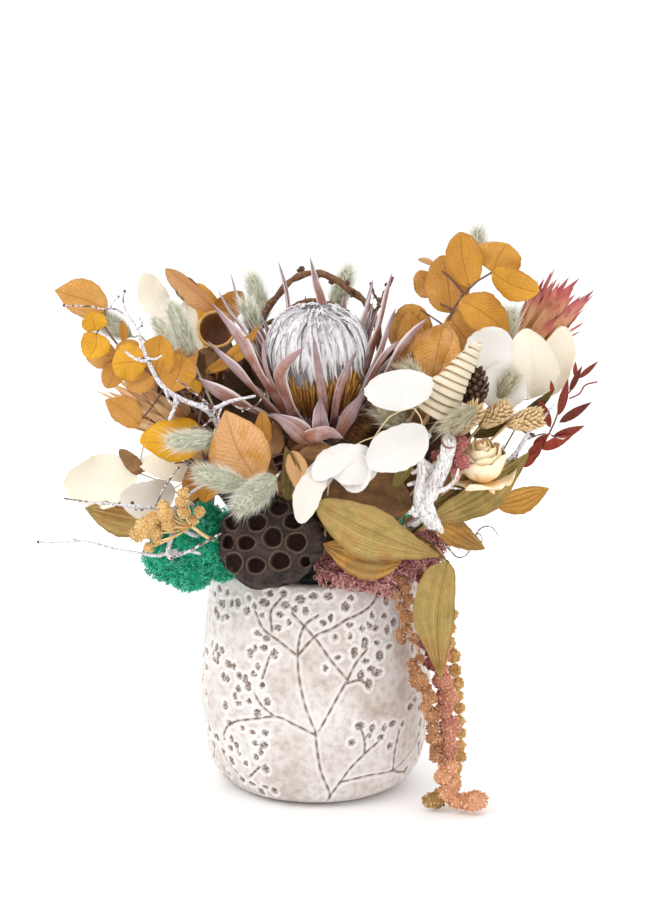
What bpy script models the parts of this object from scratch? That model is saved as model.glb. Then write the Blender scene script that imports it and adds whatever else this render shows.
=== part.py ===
# Vase of dried flowers: a pressed cement pot, foam, and some fifty dried stems.
# All positions below are millimetres from the centre of the pot's base, +Z up,
# with the arrangement's front towards -Y. Blender works in metres.
import bmesh
import bpy
from mathutils import Matrix, Vector

MM = 0.001

# Pot
POT_HEIGHT = 140.0
POT_BASE_RADIUS = 46.0
POT_BELLY_RADIUS = 71.0
POT_RIM_RADIUS = 63.5
POT_WALL = 6.5
POT_FLOOR = 8.0
POT_FLOOR_RADIUS = 52.0
POT_OUTSIDE = [
    (POT_RIM_RADIUS - 2.0, POT_HEIGHT),
    (POT_RIM_RADIUS, POT_HEIGHT - 2.5),
    (65.2, 122.0),
    (67.9, 100.0),
    (70.2, 76.0),
    (POT_BELLY_RADIUS, 54.0),
    (69.4, 34.0),
    (66.0, 18.0),
    (61.5, 8.0),
    (55.0, 2.4),
    (POT_BASE_RADIUS, 0.0),
]
POT_SIDES = 28
RIM_ROUNDING = 1.5

# Foam that holds the stems
CLEARANCE = 0.3
FOAM_RADIUS = POT_RIM_RADIUS - POT_WALL - 0.8
FOAM_FOOT_RADIUS = 50.0
FOAM_TOP = 143.0
FOAM_SIDES = 20
STEM_FOOT = 92.0
STEM_NECK = 152.0
STEM_FOOT_SPREAD = 0.72
HOLE_CLEARANCE = 0.7

# Stems and leaves
STEM_RADIUS = 1.0
FINE_STEM_RADIUS = 0.8
STEM_REACH = 0.25
TWIG_RADIUS = 1.3
SIDE_TWIG_PART = 0.8
ARM_PART = 0.7
PETIOLE_RADIUS = 0.7
PETIOLE_REACH = 0.2
LEAF_THICKNESS = 0.8
LEAF_SIDES = 8
TAIL_SIDES = 8
EGG_ROWS = 5

# Welding distance for points that coincide, in metres
WELD = 0.00001


def mm(x, y, z):
    """A point of the object, given in millimetres."""
    return Vector((x, y, z)) * MM


def clear_scene():
    for old in list(bpy.data.objects):
        bpy.data.objects.remove(old, do_unlink=True)


def new_collection(name):
    made = bpy.data.collections.new(name)
    bpy.context.scene.collection.children.link(made)
    return made


clear_scene()
ARRANGEMENT = new_collection("vase_of_dried_flowers")
JOINED = new_collection("joined_pieces")
STEM_HOLES = new_collection("stem_holes")
DRAWING = bpy.data.scenes.new("curve_drawing")


def material(name, color, roughness):
    made = bpy.data.materials.new(name)
    made.use_nodes = True
    shader = made.node_tree.nodes["Principled BSDF"]
    shader.inputs["Base Color"].default_value = (*color, 1.0)
    shader.inputs["Roughness"].default_value = roughness
    shader.inputs["Metallic"].default_value = 0.0
    made.diffuse_color = (*color, 1.0)
    return made


CEMENT = material("whitewashed_cement", (0.74, 0.70, 0.67), 0.9)
FOAM = material("floral_foam", (0.03, 0.035, 0.04), 0.95)
LOTUS = material("lotus_pod_brown", (0.07, 0.045, 0.04), 0.8)
GREEN_MOSS = material("green_moss", (0.01, 0.36, 0.2), 0.95)
PINK_MOSS = material("pink_moss", (0.6, 0.27, 0.27), 0.95)
PROTEA = material("protea_bract", (0.42, 0.28, 0.27), 0.8)
PROTEA_TAN = material("protea_tan", (0.58, 0.24, 0.09), 0.8)
AMBER = material("amber_leaf", (0.55, 0.23, 0.05), 0.6)
WHITE_LEAF = material("bleached_leaf", (0.86, 0.8, 0.74), 0.6)
OLIVE = material("olive_gold_leaf", (0.42, 0.31, 0.1), 0.6)
SAGE = material("sage_bunny_tail", (0.46, 0.52, 0.4), 0.95)
STRAW = material("straw", (0.58, 0.46, 0.26), 0.9)
CREAM = material("cream_cane", (0.82, 0.71, 0.53), 0.7)
CRIMSON = material("crimson_leaf", (0.3, 0.03, 0.012), 0.6)
ROSE = material("cream_rose", (0.85, 0.7, 0.42), 0.7)
WHITE_WOOD = material("whitewashed_wood", (0.72, 0.7, 0.69), 0.9)
BARK = material("brown_bark", (0.17, 0.09, 0.05), 0.9)
YARROW = material("tan_yarrow", (0.5, 0.3, 0.12), 0.95)
AMARANTH = material("terracotta_amaranth", (0.5, 0.2, 0.13), 0.95)


def mesh_object(name, mesh, finish, collection):
    made = bpy.data.objects.new(name, mesh)
    mesh.materials.clear()
    mesh.materials.append(finish)
    collection.objects.link(made)
    return made


def hidden(piece):
    """Marks a cutter or a joined shape, which is no node of its own."""
    piece.hide_render = True
    piece.display_type = "WIRE"
    return piece


def bmesh_object(name, shape, finish, collection):
    mesh = bpy.data.meshes.new(name)
    bmesh.ops.recalc_face_normals(shape, faces=shape.faces)
    shape.to_mesh(mesh)
    shape.free()
    return mesh_object(name, mesh, finish, collection)


def tube(name, points, radius, finish, collection, roundness=1):
    """A round stem along the points: a bevelled curve with filled caps."""
    curve = bpy.data.curves.new(name, "CURVE")
    curve.dimensions = "3D"
    curve.bevel_depth = radius * MM
    curve.bevel_resolution = roundness
    curve.use_fill_caps = True
    spline = curve.splines.new("POLY")
    spline.points.add(len(points) - 1)
    for target, point in zip(spline.points, points):
        target.co = (*mm(*point), 1.0)
    drawn = bpy.data.objects.new(name + "_curve", curve)
    DRAWING.collection.objects.link(drawn)
    layer = DRAWING.view_layers[0]
    layer.update()
    mesh = bpy.data.meshes.new_from_object(drawn.evaluated_get(layer.depsgraph))
    bpy.data.objects.remove(drawn, do_unlink=True)
    shape = bmesh.new()
    shape.from_mesh(mesh)
    bpy.data.meshes.remove(mesh)
    bmesh.ops.remove_doubles(shape, verts=shape.verts, dist=WELD)
    return bmesh_object(name, shape, finish, collection)


def frame_along(start, end, facing):
    """Axes at start: X towards end, Z as near to facing as it can be."""
    along = (end - start).normalized()
    normal = facing - along * facing.dot(along)
    normal.normalize()
    across = normal.cross(along)
    turn = Matrix((along, across, normal)).transposed().to_4x4()
    return Matrix.Translation(start) @ turn


def front_facing(base, tip):
    """Leaves of the front half look at the front, those behind look back."""
    middle = (base[1] + tip[1]) / 2.0
    return (0.0, -1.0, 0.3) if middle < 15.0 else (0.0, 1.0, 0.3)


def leaf(name, base, tip, width, finish, collection, facing=None, point=0.15):
    """A leaf blade: a flat eight-sided disc drawn out to a tip."""
    start = mm(*base)
    end = mm(*tip)
    length = (end - start).length
    shape = bmesh.new()
    bmesh.ops.create_cone(
        shape, cap_ends=True, segments=LEAF_SIDES, radius1=0.5, radius2=0.5,
        depth=LEAF_THICKNESS * MM)
    for vert in shape.verts:
        along = vert.co.x + 0.5
        taper = 1.0 - point * (along - 0.4)
        vert.co.x = along * length
        vert.co.y *= width * MM * taper
    place = frame_along(start, end, Vector(facing or front_facing(base, tip)))
    bmesh.ops.transform(shape, matrix=place, verts=shape.verts)
    return bmesh_object(name, shape, finish, collection)


def egg(name, root, tip, width, finish, collection, sides=TAIL_SIDES):
    """A soft head or a lump: a sphere stretched from root to tip."""
    start = mm(*root)
    end = mm(*tip)
    shape = bmesh.new()
    bmesh.ops.create_uvsphere(shape, u_segments=sides, v_segments=EGG_ROWS, radius=0.5)
    length = (end - start).length
    stretch = Matrix.Diagonal((width * MM, width * MM, length, 1.0))
    turn = (end - start).to_track_quat("Z", "Y").to_matrix().to_4x4()
    place = Matrix.Translation((start + end) / 2.0) @ turn @ stretch
    bmesh.ops.transform(shape, matrix=place, verts=shape.verts)
    return bmesh_object(name, shape, finish, collection)


def turned(name, root, tip, outline, finish, collection, sides=12):
    """A head turned about the line root-tip; outline holds (radius, part of length)."""
    start = mm(*root)
    end = mm(*tip)
    length = (end - start).length
    rows = [(radius * MM, part * length) for radius, part in outline]
    mesh = bpy.data.meshes.new(name)
    mesh.from_pydata([(radius, 0.0, height) for radius, height in rows],
                     [(i, i + 1) for i in range(len(rows) - 1)], [])
    made = mesh_object(name, mesh, finish, collection)
    turn = (end - start).to_track_quat("Z", "Y").to_matrix().to_4x4()
    made.matrix_world = Matrix.Translation(start) @ turn
    screw = made.modifiers.new("turn", "SCREW")
    screw.steps = sides
    screw.render_steps = sides
    screw.use_merge_vertices = True
    screw.merge_threshold = WELD
    return made


def join(name, parts, finish):
    """One solid from overlapping shapes: a Boolean union of the rest on the first."""
    group = bpy.data.collections.new(name + "_pieces")
    JOINED.children.link(group)
    first, *rest = parts
    first.name = name
    for piece in rest:
        for owner in list(piece.users_collection):
            owner.objects.unlink(piece)
        group.objects.link(hidden(piece))
    for owner in list(first.users_collection):
        owner.objects.unlink(first)
    ARRANGEMENT.objects.link(first)
    first.data.materials.clear()
    first.data.materials.append(finish)
    if rest:
        union = first.modifiers.new("join", "BOOLEAN")
        union.operation = "UNION"
        union.operand_type = "COLLECTION"
        union.collection = group
        union.solver = "EXACT"
    return first


def stem_path(entry, route):
    """From the stem's foot in the foam, through its hole, and along the route."""
    x, y = entry
    foot = (x * STEM_FOOT_SPREAD, y * STEM_FOOT_SPREAD, STEM_FOOT)
    return [foot, (x, y, STEM_NECK), *route]


def planted(name, entry, route, finish, radius=STEM_RADIUS):
    """A stem set in the foam, with the hole that it has made there."""
    path = stem_path(entry, route)
    x, y = entry
    lower = (x * STEM_FOOT_SPREAD, y * STEM_FOOT_SPREAD, STEM_FOOT - CLEARANCE)
    hole = tube(name + "_hole", [lower, (x, y, STEM_NECK)], radius + HOLE_CLEARANCE,
                FOAM, STEM_HOLES)
    hidden(hole)
    return tube(name + "_stem", path, radius, finish, JOINED)


def nearest_on(paths, point):
    """The point of the stem or its twigs that lies closest to a leaf's base."""
    target = Vector(point)
    found = []
    for path in paths:
        for start, end in zip(path, path[1:]):
            low = Vector(start)
            run = Vector(end) - low
            part = max(0.0, min(1.0, (target - low).dot(run) / run.length_squared))
            found.append(low + run * part)
    return tuple(min(found, key=lambda place: (place - target).length))


def spray(name, entry, route, leaves, finish, twigs=(), radius=STEM_RADIUS, point=0.15):
    """A stem with side twigs and leaves; a leaf is (base, tip, width[, facing])."""
    parts = [planted(name, entry, route, finish, radius)]
    paths = [stem_path(entry, route), *twigs]
    for number, twig in enumerate(twigs):
        parts.append(tube(f"{name}_twig_{number}", twig, radius * SIDE_TWIG_PART, finish,
                          JOINED))
    for number, (base, tip, width, *facing) in enumerate(leaves):
        look = facing[0] if facing else None
        inside = tuple(Vector(base).lerp(Vector(tip), PETIOLE_REACH))
        petiole = [nearest_on(paths, base), inside]
        parts.append(tube(f"{name}_petiole_{number}", petiole, PETIOLE_RADIUS, finish,
                          JOINED, roundness=0))
        parts.append(leaf(f"{name}_leaf_{number}", base, tip, width, finish, JOINED,
                          look, point))
    return join(name, parts, finish)


def bunny_tail(name, entry, root, tip, width, finish=SAGE, bend=()):
    """A grass stem with one soft oval head."""
    inside = tuple(Vector(root).lerp(Vector(tip), STEM_REACH))
    stem = planted(name, entry, [*bend, root, inside], finish, FINE_STEM_RADIUS)
    head = egg(name + "_head", root, tip, width, finish, JOINED)
    return join(name, [stem, head], finish)


def flower_head(name, entry, root, tip, outline, finish, bend=(), sides=12, radius=1.8):
    """A stem that carries one turned head."""
    inside = tuple(Vector(root).lerp(Vector(tip), STEM_REACH))
    stem = planted(name, entry, [*bend, root, inside], finish, radius)
    head = turned(name + "_head", root, tip, outline, finish, JOINED, sides)
    return join(name, [head, stem], finish)


# Pot and foam
def make_pot():
    inside = [(radius - POT_WALL, height) for radius, height in POT_OUTSIDE
              if POT_FLOOR + 6.0 < height < POT_HEIGHT - 3.0]
    profile = [
        *POT_OUTSIDE,
        (0.0, 0.0),
        (0.0, POT_FLOOR),
        (POT_FLOOR_RADIUS, POT_FLOOR),
        *reversed(inside),
        (POT_RIM_RADIUS - POT_WALL, POT_HEIGHT - 2.0),
        (POT_RIM_RADIUS - POT_WALL + RIM_ROUNDING, POT_HEIGHT),
        POT_OUTSIDE[0],
    ]
    mesh = bpy.data.meshes.new("pot")
    points = [mm(radius, 0.0, height) for radius, height in profile]
    mesh.from_pydata(points, [(i, i + 1) for i in range(len(points) - 1)], [])
    pot = mesh_object("pot", mesh, CEMENT, ARRANGEMENT)
    screw = pot.modifiers.new("turn", "SCREW")
    screw.steps = POT_SIDES
    screw.render_steps = POT_SIDES
    screw.use_merge_vertices = True
    screw.merge_threshold = WELD
    return pot


def make_foam():
    """A dry-foam plug that stands on the pot's floor, just proud of the rim."""
    shape = bmesh.new()
    bottom = POT_FLOOR + CLEARANCE
    height = FOAM_TOP - bottom
    bmesh.ops.create_cone(
        shape, cap_ends=True, segments=FOAM_SIDES, radius1=FOAM_FOOT_RADIUS * MM,
        radius2=FOAM_RADIUS * MM, depth=height * MM,
        matrix=Matrix.Translation(mm(0.0, 0.0, bottom + height / 2.0)))
    foam = bmesh_object("floral_foam", shape, FOAM, ARRANGEMENT)
    holes = foam.modifiers.new("stem holes", "BOOLEAN")
    holes.operation = "DIFFERENCE"
    holes.operand_type = "COLLECTION"
    holes.collection = STEM_HOLES
    holes.solver = "EXACT"
    return foam


make_pot()
make_foam()


# Moss tucked over the rim
def moss(name, lumps, finish):
    parts = [egg(f"{name}_lump_{number}", low, high, width, finish, JOINED, 10)
             for number, (low, high, width) in enumerate(lumps)]
    return join(name, parts, finish)


moss("moss_green", [
    ((-54, -40, 140.4), (-55, -41, 154), 30),
    ((-51, -38, 139.4), (-52, -39, 151), 17),
    ((-92, -50, 143), (-92, -50, 170), 34),
    ((-72, -58, 141), (-72, -58, 166), 28),
    ((-100, -44, 148), (-98, -44, 162), 22),
    ((-82, -48, 133), (-82, -52, 152), 20),
], GREEN_MOSS)
moss("moss_pink", [
    ((0, -66, 140.4), (0, -66, 152), 17),
    ((14, -64, 140.4), (14, -64, 155), 23),
    ((31, -62, 140.4), (31, -62, 156), 24),
    ((44, -46, 140.4), (44, -46, 154), 23),
    ((57, -31, 140.4), (57, -31, 155), 21),
    ((65, -16, 140.4), (65, -16, 154), 20),
], PINK_MOSS)
moss("moss_back", [
    ((-41, 54, 140.4), (-43, 58, 160), 34),
    ((-16, 64, 140.4), (-16, 67, 162), 36),
    ((14, 65, 140.4), (14, 68, 160), 34),
    ((41, 53, 140.4), (43, 57, 162), 34),
], GREEN_MOSS)

# Lotus pod: a flat-faced funnel that looks out of the front
flower_head("lotus_pod", (-17, -41), (-22, -56, 166), (-27, -86, 172), [
    (0.0, 1.0), (24.0, 1.0), (28.0, 0.93), (27.0, 0.72), (20.0, 0.4), (9.0, 0.1),
    (0.0, 0.0)], LOTUS, radius=2.4, sides=16)

# Proteas: a cup of bracts round a dome
PROTEA_OUTLINE = [
    (0.0, 1.0), (12.0, 0.98), (21.0, 0.9), (27.0, 0.76), (31.0, 0.78), (30.0, 0.7),
    (21.0, 0.42), (13.0, 0.15), (5.0, 0.0), (0.0, 0.0)]
SMALL_PROTEA_OUTLINE = [
    (0.0, 1.0), (9.0, 0.97), (15.0, 0.85), (17.0, 0.7), (14.0, 0.4), (8.0, 0.12),
    (3.0, 0.0), (0.0, 0.0)]
flower_head("protea_king", (1, -8), (4, -38, 226), (2, -50, 304), PROTEA_OUTLINE,
            PROTEA, radius=3.0, sides=16)
flower_head("protea_left", (-26, -8), (-72, -14, 222), (-110, -26, 262),
            SMALL_PROTEA_OUTLINE, PROTEA_TAN, radius=2.2)
flower_head("protea_right", (30, 8), (118, 6, 258), (150, 2, 308),
            SMALL_PROTEA_OUTLINE, PROTEA_TAN, radius=2.2)
flower_head("protea_back", (4, 24), (8, 62, 216), (14, 96, 262),
            SMALL_PROTEA_OUTLINE, PROTEA, radius=2.2)

# Seed heads
flower_head("bell_cup", (-17, -2), (-56, -16, 272), (-62, -24, 302), [
    (0.0, 0.97), (11.0, 1.0), (13.0, 0.95), (11.0, 0.6), (5.0, 0.15), (0.0, 0.0)],
    BARK, radius=1.4)
flower_head("dark_cone", (28, -13), (91, -54, 247), (93, -59, 269), [
    (0.0, 1.0), (5.0, 0.9), (9.0, 0.6), (9.0, 0.3), (4.0, 0.05), (0.0, 0.0)],
    BARK, radius=1.2, sides=8)
flower_head("cane_cone", (20, -20), (63, -72, 248), (92, -74, 288), [
    (0.0, 1.0), (2.0, 0.97), (11.0, 0.1), (9.0, 0.0), (0.0, 0.0)],
    CREAM, radius=1.2, sides=10)

# Amber eucalyptus
spray("eucalyptus_far_left", (-34, -7), [(-70, -48, 244), (-94, -56, 266),
                                         (-119, -50, 286), (-126, -44, 300)], [
    ((-125, -44, 299), (-152, -38, 307), 17),
    ((-119, -51, 287), (-134, -58, 299), 16),
    ((-118, -51, 285), (-128, -56, 267), 13),
    ((-100, -55, 270), (-114, -66, 283), 14),
    ((-96, -56, 267), (-88, -64, 285), 13),
    ((-85, -53, 258), (-77, -62, 274), 14),
    ((-90, -55, 262), (-108, -68, 262), 12),
], AMBER)
spray("eucalyptus_low_left", (-40, -8), [(-62, -56, 208), (-70, -68, 222)], [
    ((-70, -68, 223), (-102, -74, 232), 28),
    ((-66, -62, 215), (-54, -84, 224), 18),
    ((-58, -46, 198), (-78, -76, 194), 16),
], AMBER)
spray("eucalyptus_front", (-7, -33), [(-24, -78, 214), (-30, -84, 232)], [
    ((-27, -80, 224), (-48, -90, 252), 32),
    ((-30, -84, 231), (-30, -86, 252), 10),
], AMBER)
spray("eucalyptus_middle", (9, -36), [(12, -72, 198), (12, -76, 210)], [
    ((12, -74, 202), (50, -76, 200), 20),
    ((12, -76, 209), (-10, -80, 216), 18),
], AMBER)
spray("eucalyptus_top", (-14, 4), [(-50, 6, 270), (-64, 2, 299)], [
    ((-64, 2, 299), (-86, -12, 322), 18),
    ((-62, 3, 292), (-88, 6, 303), 13),
], AMBER)
spray("eucalyptus_right", (18, 2), [(66, -22, 268), (80, -26, 296), (88, -22, 312),
                                    (104, -15, 321)], [
    ((86, -22, 309), (85, -18, 342), 27),
    ((80, -26, 297), (70, -34, 326), 26),
    ((104, -15, 321), (128, -10, 328), 16),
    ((97, -17, 317), (128, -24, 308), 24),
    ((84, -25, 304), (108, -40, 292), 26),
], AMBER)
spray("eucalyptus_mid_right", (14, -8), [(50, -32, 250), (60, -42, 262)], [
    ((60, -42, 262), (78, -48, 296), 34),
    ((52, -34, 252), (56, -28, 298), 22),
], AMBER)
spray("eucalyptus_back", (-18, 26), [(-48, 60, 220), (-62, 76, 246), (-70, 84, 270)], [
    ((-70, 84, 269), (-76, 92, 298), 24),
    ((-62, 76, 247), (-90, 80, 262), 26),
    ((-60, 74, 243), (-40, 98, 256), 26),
    ((-50, 62, 224), (-76, 84, 222), 24),
    ((-40, 50, 206), (-18, 78, 214), 24),
], AMBER)

# Bleached silver-dollar leaves
spray("white_leaves_front", (17, -33), [(30, -76, 222), (40, -84, 244), (50, -88, 254)], [
    ((66, -92, 262), (30, -98, 268), 26, (0.0, -1.0, 0.5)),
    ((38, -83, 240), (66, -94, 244), 24),
], WHITE_LEAF, twigs=[[(50, -88, 254), (65, -91, 262)]], radius=FINE_STEM_RADIUS)
spray("white_leaves_middle", (5, -41), [(8, -86, 208), (14, -92, 232)], [
    ((14, -92, 231), (34, -101, 218), 26),
    ((13, -91, 229), (-2, -100, 214), 17),
    ((8, -87, 210), (-8, -100, 188), 16),
], WHITE_LEAF, radius=FINE_STEM_RADIUS)
spray("white_leaves_right", (23, -5), [(82, -36, 248), (87, -42, 268)], [
    ((87, -42, 267), (113, -60, 288), 26),
    ((83, -38, 252), (120, -64, 262), 26),
], WHITE_LEAF, radius=FINE_STEM_RADIUS)
spray("white_leaves_far_right", (38, -4), [(112, -26, 242), (124, -28, 254)], [
    ((124, -28, 254), (137, -34, 291), 30),
    ((117, -27, 247), (151, -24, 264), 24),
], WHITE_LEAF, radius=FINE_STEM_RADIUS)
spray("white_leaves_left", (-46, -14), [(-84, -50, 196), (-104, -58, 204)], [
    ((-103, -57, 203), (-146, -56, 196), 28),
    ((-90, -52, 204), (-117, -74, 203), 20),
    ((-84, -50, 197), (-98, -70, 214), 18),
], WHITE_LEAF, radius=FINE_STEM_RADIUS)
spray("white_leaves_back", (24, 28), [(60, 62, 210), (78, 76, 226)], [
    ((77, 75, 225), (104, 84, 244), 28),
    ((64, 65, 214), (84, 90, 200), 26),
    ((56, 58, 206), (44, 88, 226), 26),
], WHITE_LEAF, radius=FINE_STEM_RADIUS)

# Olive-gold ruscus leaves
spray("olive_leaf_front", (20, -42), [(44, -69, 163), (66, -83, 166)], [
    ((65, -83, 166), (4, -102, 190), 25, (0.2, -1.0, 0.8)),
    ((46, -71, 164), (8, -88, 176), 15, (0.2, -1.0, 0.8)),
], OLIVE, point=0.6)
spray("olive_leaf_trailing", (36, -32), [(52, -48, 167), (62, -56, 164), (76, -62, 153)], [
    ((76, -62, 152), (74, -74, 88), 24),
], OLIVE, point=0.6)
spray("olive_leaf_right", (47, -16), [(76, -50, 184), (96, -56, 194)], [
    ((94, -55, 193), (124, -58, 196), 18),
    ((80, -51, 187), (104, -74, 196), 15),
], OLIVE, point=0.6)
spray("olive_leaf_left", (-44, -24), [(-84, -56, 182)], [
    ((-83, -55, 181), (-136, -58, 186), 20),
], OLIVE, point=0.6)

# Bunny tails
BUNNY_TAILS = [
    # entry, root of the head, tip of the head, width, and a bend on the way
    ((-31, 10), (-108, -30, 284), (-138, -36, 302), 17, [(-96, 4, 266)]),
    ((-24, -20), (-72, -40, 272), (-86, -42, 311), 15),
    ((-5, 11), (-30, 12, 286), (-41, 15, 319), 14),
    ((-11, -10), (-35, -28, 284), (-42, -34, 309), 11),
    ((4, 4), (10, 12, 290), (22, 12, 324), 14),
    ((22, 10), (94, 2, 318), (98, 0, 350), 13),
    ((31, 0), (112, -16, 278), (117, -18, 301), 14),
    ((-29, -26), (-57, -86, 236), (-86, -94, 235), 13),
    ((-22, -31), (-42, -93, 214), (-68, -102, 216), 14, [(-32, -56, 202)]),
    ((-12, -36), (-22, -90, 218), (-50, -114, 197), 20, [(-18, -56, 204)]),
    ((10, -20), (64, -58, 258), (50, -62, 275), 11),
    ((12, -27), (52, -62, 238), (33, -67, 250), 13),
    ((26, -22), (93, -84, 240), (70, -92, 232), 13, [(68, -62, 230)]),
    ((34, -9), (104, -66, 243), (114, -70, 260), 11, [(78, -28, 214)]),
]
for number, (entry, root, tip, width, *bend) in enumerate(BUNNY_TAILS, 1):
    bunny_tail(f"bunny_tail_{number}", entry, root, tip, width,
               bend=bend[0] if bend else ())

# Three tails wired together fill the back
back_stem = planted("bunny_tails_back", (-36, 22), [(-58, 50, 214)], SAGE)
BACK_TIE = (-56.5, 48, 209)
back_parts = [back_stem]
for number, (root, tip) in enumerate([
        ((-96, 66, 232), (-122, 74, 246)),
        ((-84, 56, 256), (-104, 62, 284)),
        ((-92, 84, 208), (-112, 98, 214))]):
    inside = tuple(Vector(root).lerp(Vector(tip), STEM_REACH))
    back_parts.append(tube(f"back_tail_stem_{number}", [BACK_TIE, inside],
                           FINE_STEM_RADIUS, SAGE, JOINED))
    back_parts.append(egg(f"back_tail_{number}", root, tip, 14, SAGE, JOINED))
join("bunny_tails_back", back_parts, SAGE)

# Canary grass heads
CANARY_GRASS = [
    ((30, -17), (86, -62, 231), (93, -67, 246), 11, [(58, -38, 192)]),
    ((35, -17), (98, -50, 235), (112, -60, 246), 10, [(78, -34, 206)]),
    ((40, -12), (112, -44, 234), (130, -52, 242), 10, [(84, -26, 200)]),
]
for number, (entry, root, tip, width, bend) in enumerate(CANARY_GRASS, 1):
    bunny_tail(f"canary_grass_{number}", entry, root, tip, width, STRAW, bend)

# Red ruscus
spray("red_ruscus", (43, -2), [(118, -48, 206), (136, -52, 224), (146, -50, 244),
                               (155, -46, 268)], [
    ((154, -47, 262), (166, -46, 266), 4),
    ((150, -48, 254), (163, -46, 252), 5),
    ((146, -50, 243), (157, -50, 236), 5),
    ((136, -52, 224), (148, -52, 222), 5),
    ((128, -50, 216), (138, -52, 208), 5),
], CRIMSON, radius=FINE_STEM_RADIUS)

# Rose
flower_head("rose", (40, -22), (98, -50, 204), (103, -63, 226), [
    (0.0, 0.92), (9.0, 1.0), (12.5, 0.8), (11.5, 0.4), (5.0, 0.05), (0.0, 0.0)],
    ROSE, radius=1.4)

# Whitewashed driftwood and twigs
driftwood = planted("driftwood", (26, -31), [(44, -52, 170), (65, -76, 184)],
                    WHITE_WOOD, 1.4)
join("driftwood", [
    driftwood,
    tube("drift_log", [(65, -76, 181), (71, -82, 200), (75, -82, 225)], 6.0, WHITE_WOOD,
         JOINED),
    tube("drift_arm", [(71, -81, 198), (60, -84, 206), (56, -84, 214)], 3.0, WHITE_WOOD,
         JOINED),
], WHITE_WOOD)


def twig(name, entry, route, arms, finish, radius=TWIG_RADIUS):
    parts = [planted(name, entry, route, finish, radius)]
    for number, arm in enumerate(arms):
        parts.append(tube(f"{name}_arm_{number}", arm, radius * ARM_PART, finish, JOINED))
    return join(name, parts, finish)


twig("twig_upper_left", (-33, -18), [
    (-56, -76, 240), (-69, -82, 252), (-88, -84, 266), (-99, -82, 288), (-110, -76, 316),
    (-146, -62, 306)], [
    [(-69, -82, 252), (-52, -86, 254), (-34, -80, 259)],
    [(-88, -84, 266), (-94, -90, 260), (-97, -92, 256)],
    [(-99, -82, 288), (-92, -86, 293)],
], WHITE_WOOD)
twig("twig_lower_left", (-38, -30), [(-74, -82, 178), (-82, -86, 192), (-68, -86, 214)], [
    [(-82, -86, 192), (-116, -80, 194), (-147, -74, 196)],
    [(-73, -81, 177), (-108, -86, 168), (-138, -80, 170), (-162, -74, 168)],
    [(-74, -82, 178), (-58, -96, 180)],
], WHITE_WOOD)
twig("twig_right", (46, -1), [(100, -26, 190), (116, -38, 212), (136, -56, 238)], [
    [(126, -47, 225), (136, -56, 222)],
], WHITE_WOOD, 1.0)

# Vine arch behind the central protea
twig("vine_arch", (-9, 2), [(-34, -4, 262), (-32, -2, 298), (-15, 0, 313), (3, 0, 319),
                            (20, 0, 310), (32, -4, 300), (40, -8, 280)], [], BARK, 1.6)

# Tan yarrow
yarrow = planted("yarrow", (-31, -37), [(-72, -92, 184)], YARROW)
yarrow_parts = [yarrow]
for number, (end, size) in enumerate([
        ((-100, -82, 181), 14), ((-88, -98, 186), 11), ((-76, -100, 198), 10),
        ((-62, -98, 191), 8)]):
    yarrow_parts.append(tube(f"yarrow_stalk_{number}", [(-71, -91, 183), end],
                             FINE_STEM_RADIUS, YARROW, JOINED))
    low = (end[0], end[1], end[2] - size * 0.3)
    high = (end[0], end[1], end[2] + size * 0.5)
    yarrow_parts.append(egg(f"yarrow_head_{number}", low, high, size, YARROW, JOINED))
join("yarrow", yarrow_parts, YARROW)

# Amaranth: one short upright tuft and three strands that hang over the rim
bunny_tail("amaranth_tuft", (34, -28), (84, -72, 206), (84, -71, 230), 9, CRIMSON)


def strand(name, entry, over_rim, tails, finish):
    """Hanging strands on one stem; a tail is (points, radius)."""
    parts = [planted(name, entry, over_rim, finish)]
    for number, (points, radius) in enumerate(tails):
        parts.append(tube(f"{name}_tail_{number}", points, radius, finish, JOINED))
    return join(name, parts, finish)


strand("amaranth_tan", (29, -40), [(42, -55, 160), (50, -63, 150), (51, -64, 140)], [
    ([(50, -63, 146), (53, -66, 110), (60, -66, 82), (69, -66, 54)], 5.5)], AMARANTH)
strand("amaranth_long", (42, -27), [(62, -42, 166), (70, -50, 146), (70, -49, 134)], [
    ([(69, -49, 142), (72, -48, 100), (76, -50, 60), (79, -56, 24)], 7.0),
    ([(79, -54, 30), (78, -60, 14), (80, -64, 8.5)], 5.0),
    ([(72, -64, 7.5), (86, -65, 7.5), (103, -68, 7.5)], 7.0),
    ([(62, -42, 166), (76, -38, 158), (82, -37, 140)], 1.0),
    ([(82, -37, 146), (86, -38, 90), (90, -40, 50), (89, -42, 14)], 5.0)], AMARANTH)

bpy.data.scenes.remove(DRAWING)
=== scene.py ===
import math

import bpy
import numpy as np
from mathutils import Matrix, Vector


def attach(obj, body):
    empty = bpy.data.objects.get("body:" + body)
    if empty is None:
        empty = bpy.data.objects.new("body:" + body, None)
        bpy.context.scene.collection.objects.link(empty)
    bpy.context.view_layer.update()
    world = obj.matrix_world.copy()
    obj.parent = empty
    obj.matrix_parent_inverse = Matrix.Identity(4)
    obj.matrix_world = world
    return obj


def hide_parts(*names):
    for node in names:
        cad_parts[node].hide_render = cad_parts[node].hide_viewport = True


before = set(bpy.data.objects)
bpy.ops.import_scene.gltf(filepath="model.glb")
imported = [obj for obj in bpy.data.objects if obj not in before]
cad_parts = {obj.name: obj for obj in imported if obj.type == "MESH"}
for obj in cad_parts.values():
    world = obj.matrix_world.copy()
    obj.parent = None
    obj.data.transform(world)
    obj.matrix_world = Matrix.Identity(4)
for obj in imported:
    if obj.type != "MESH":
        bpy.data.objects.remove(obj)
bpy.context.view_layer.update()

# Camera
# The view is from the front, 12.5 degrees above level and 1.4 m away, through a long lens.

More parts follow.
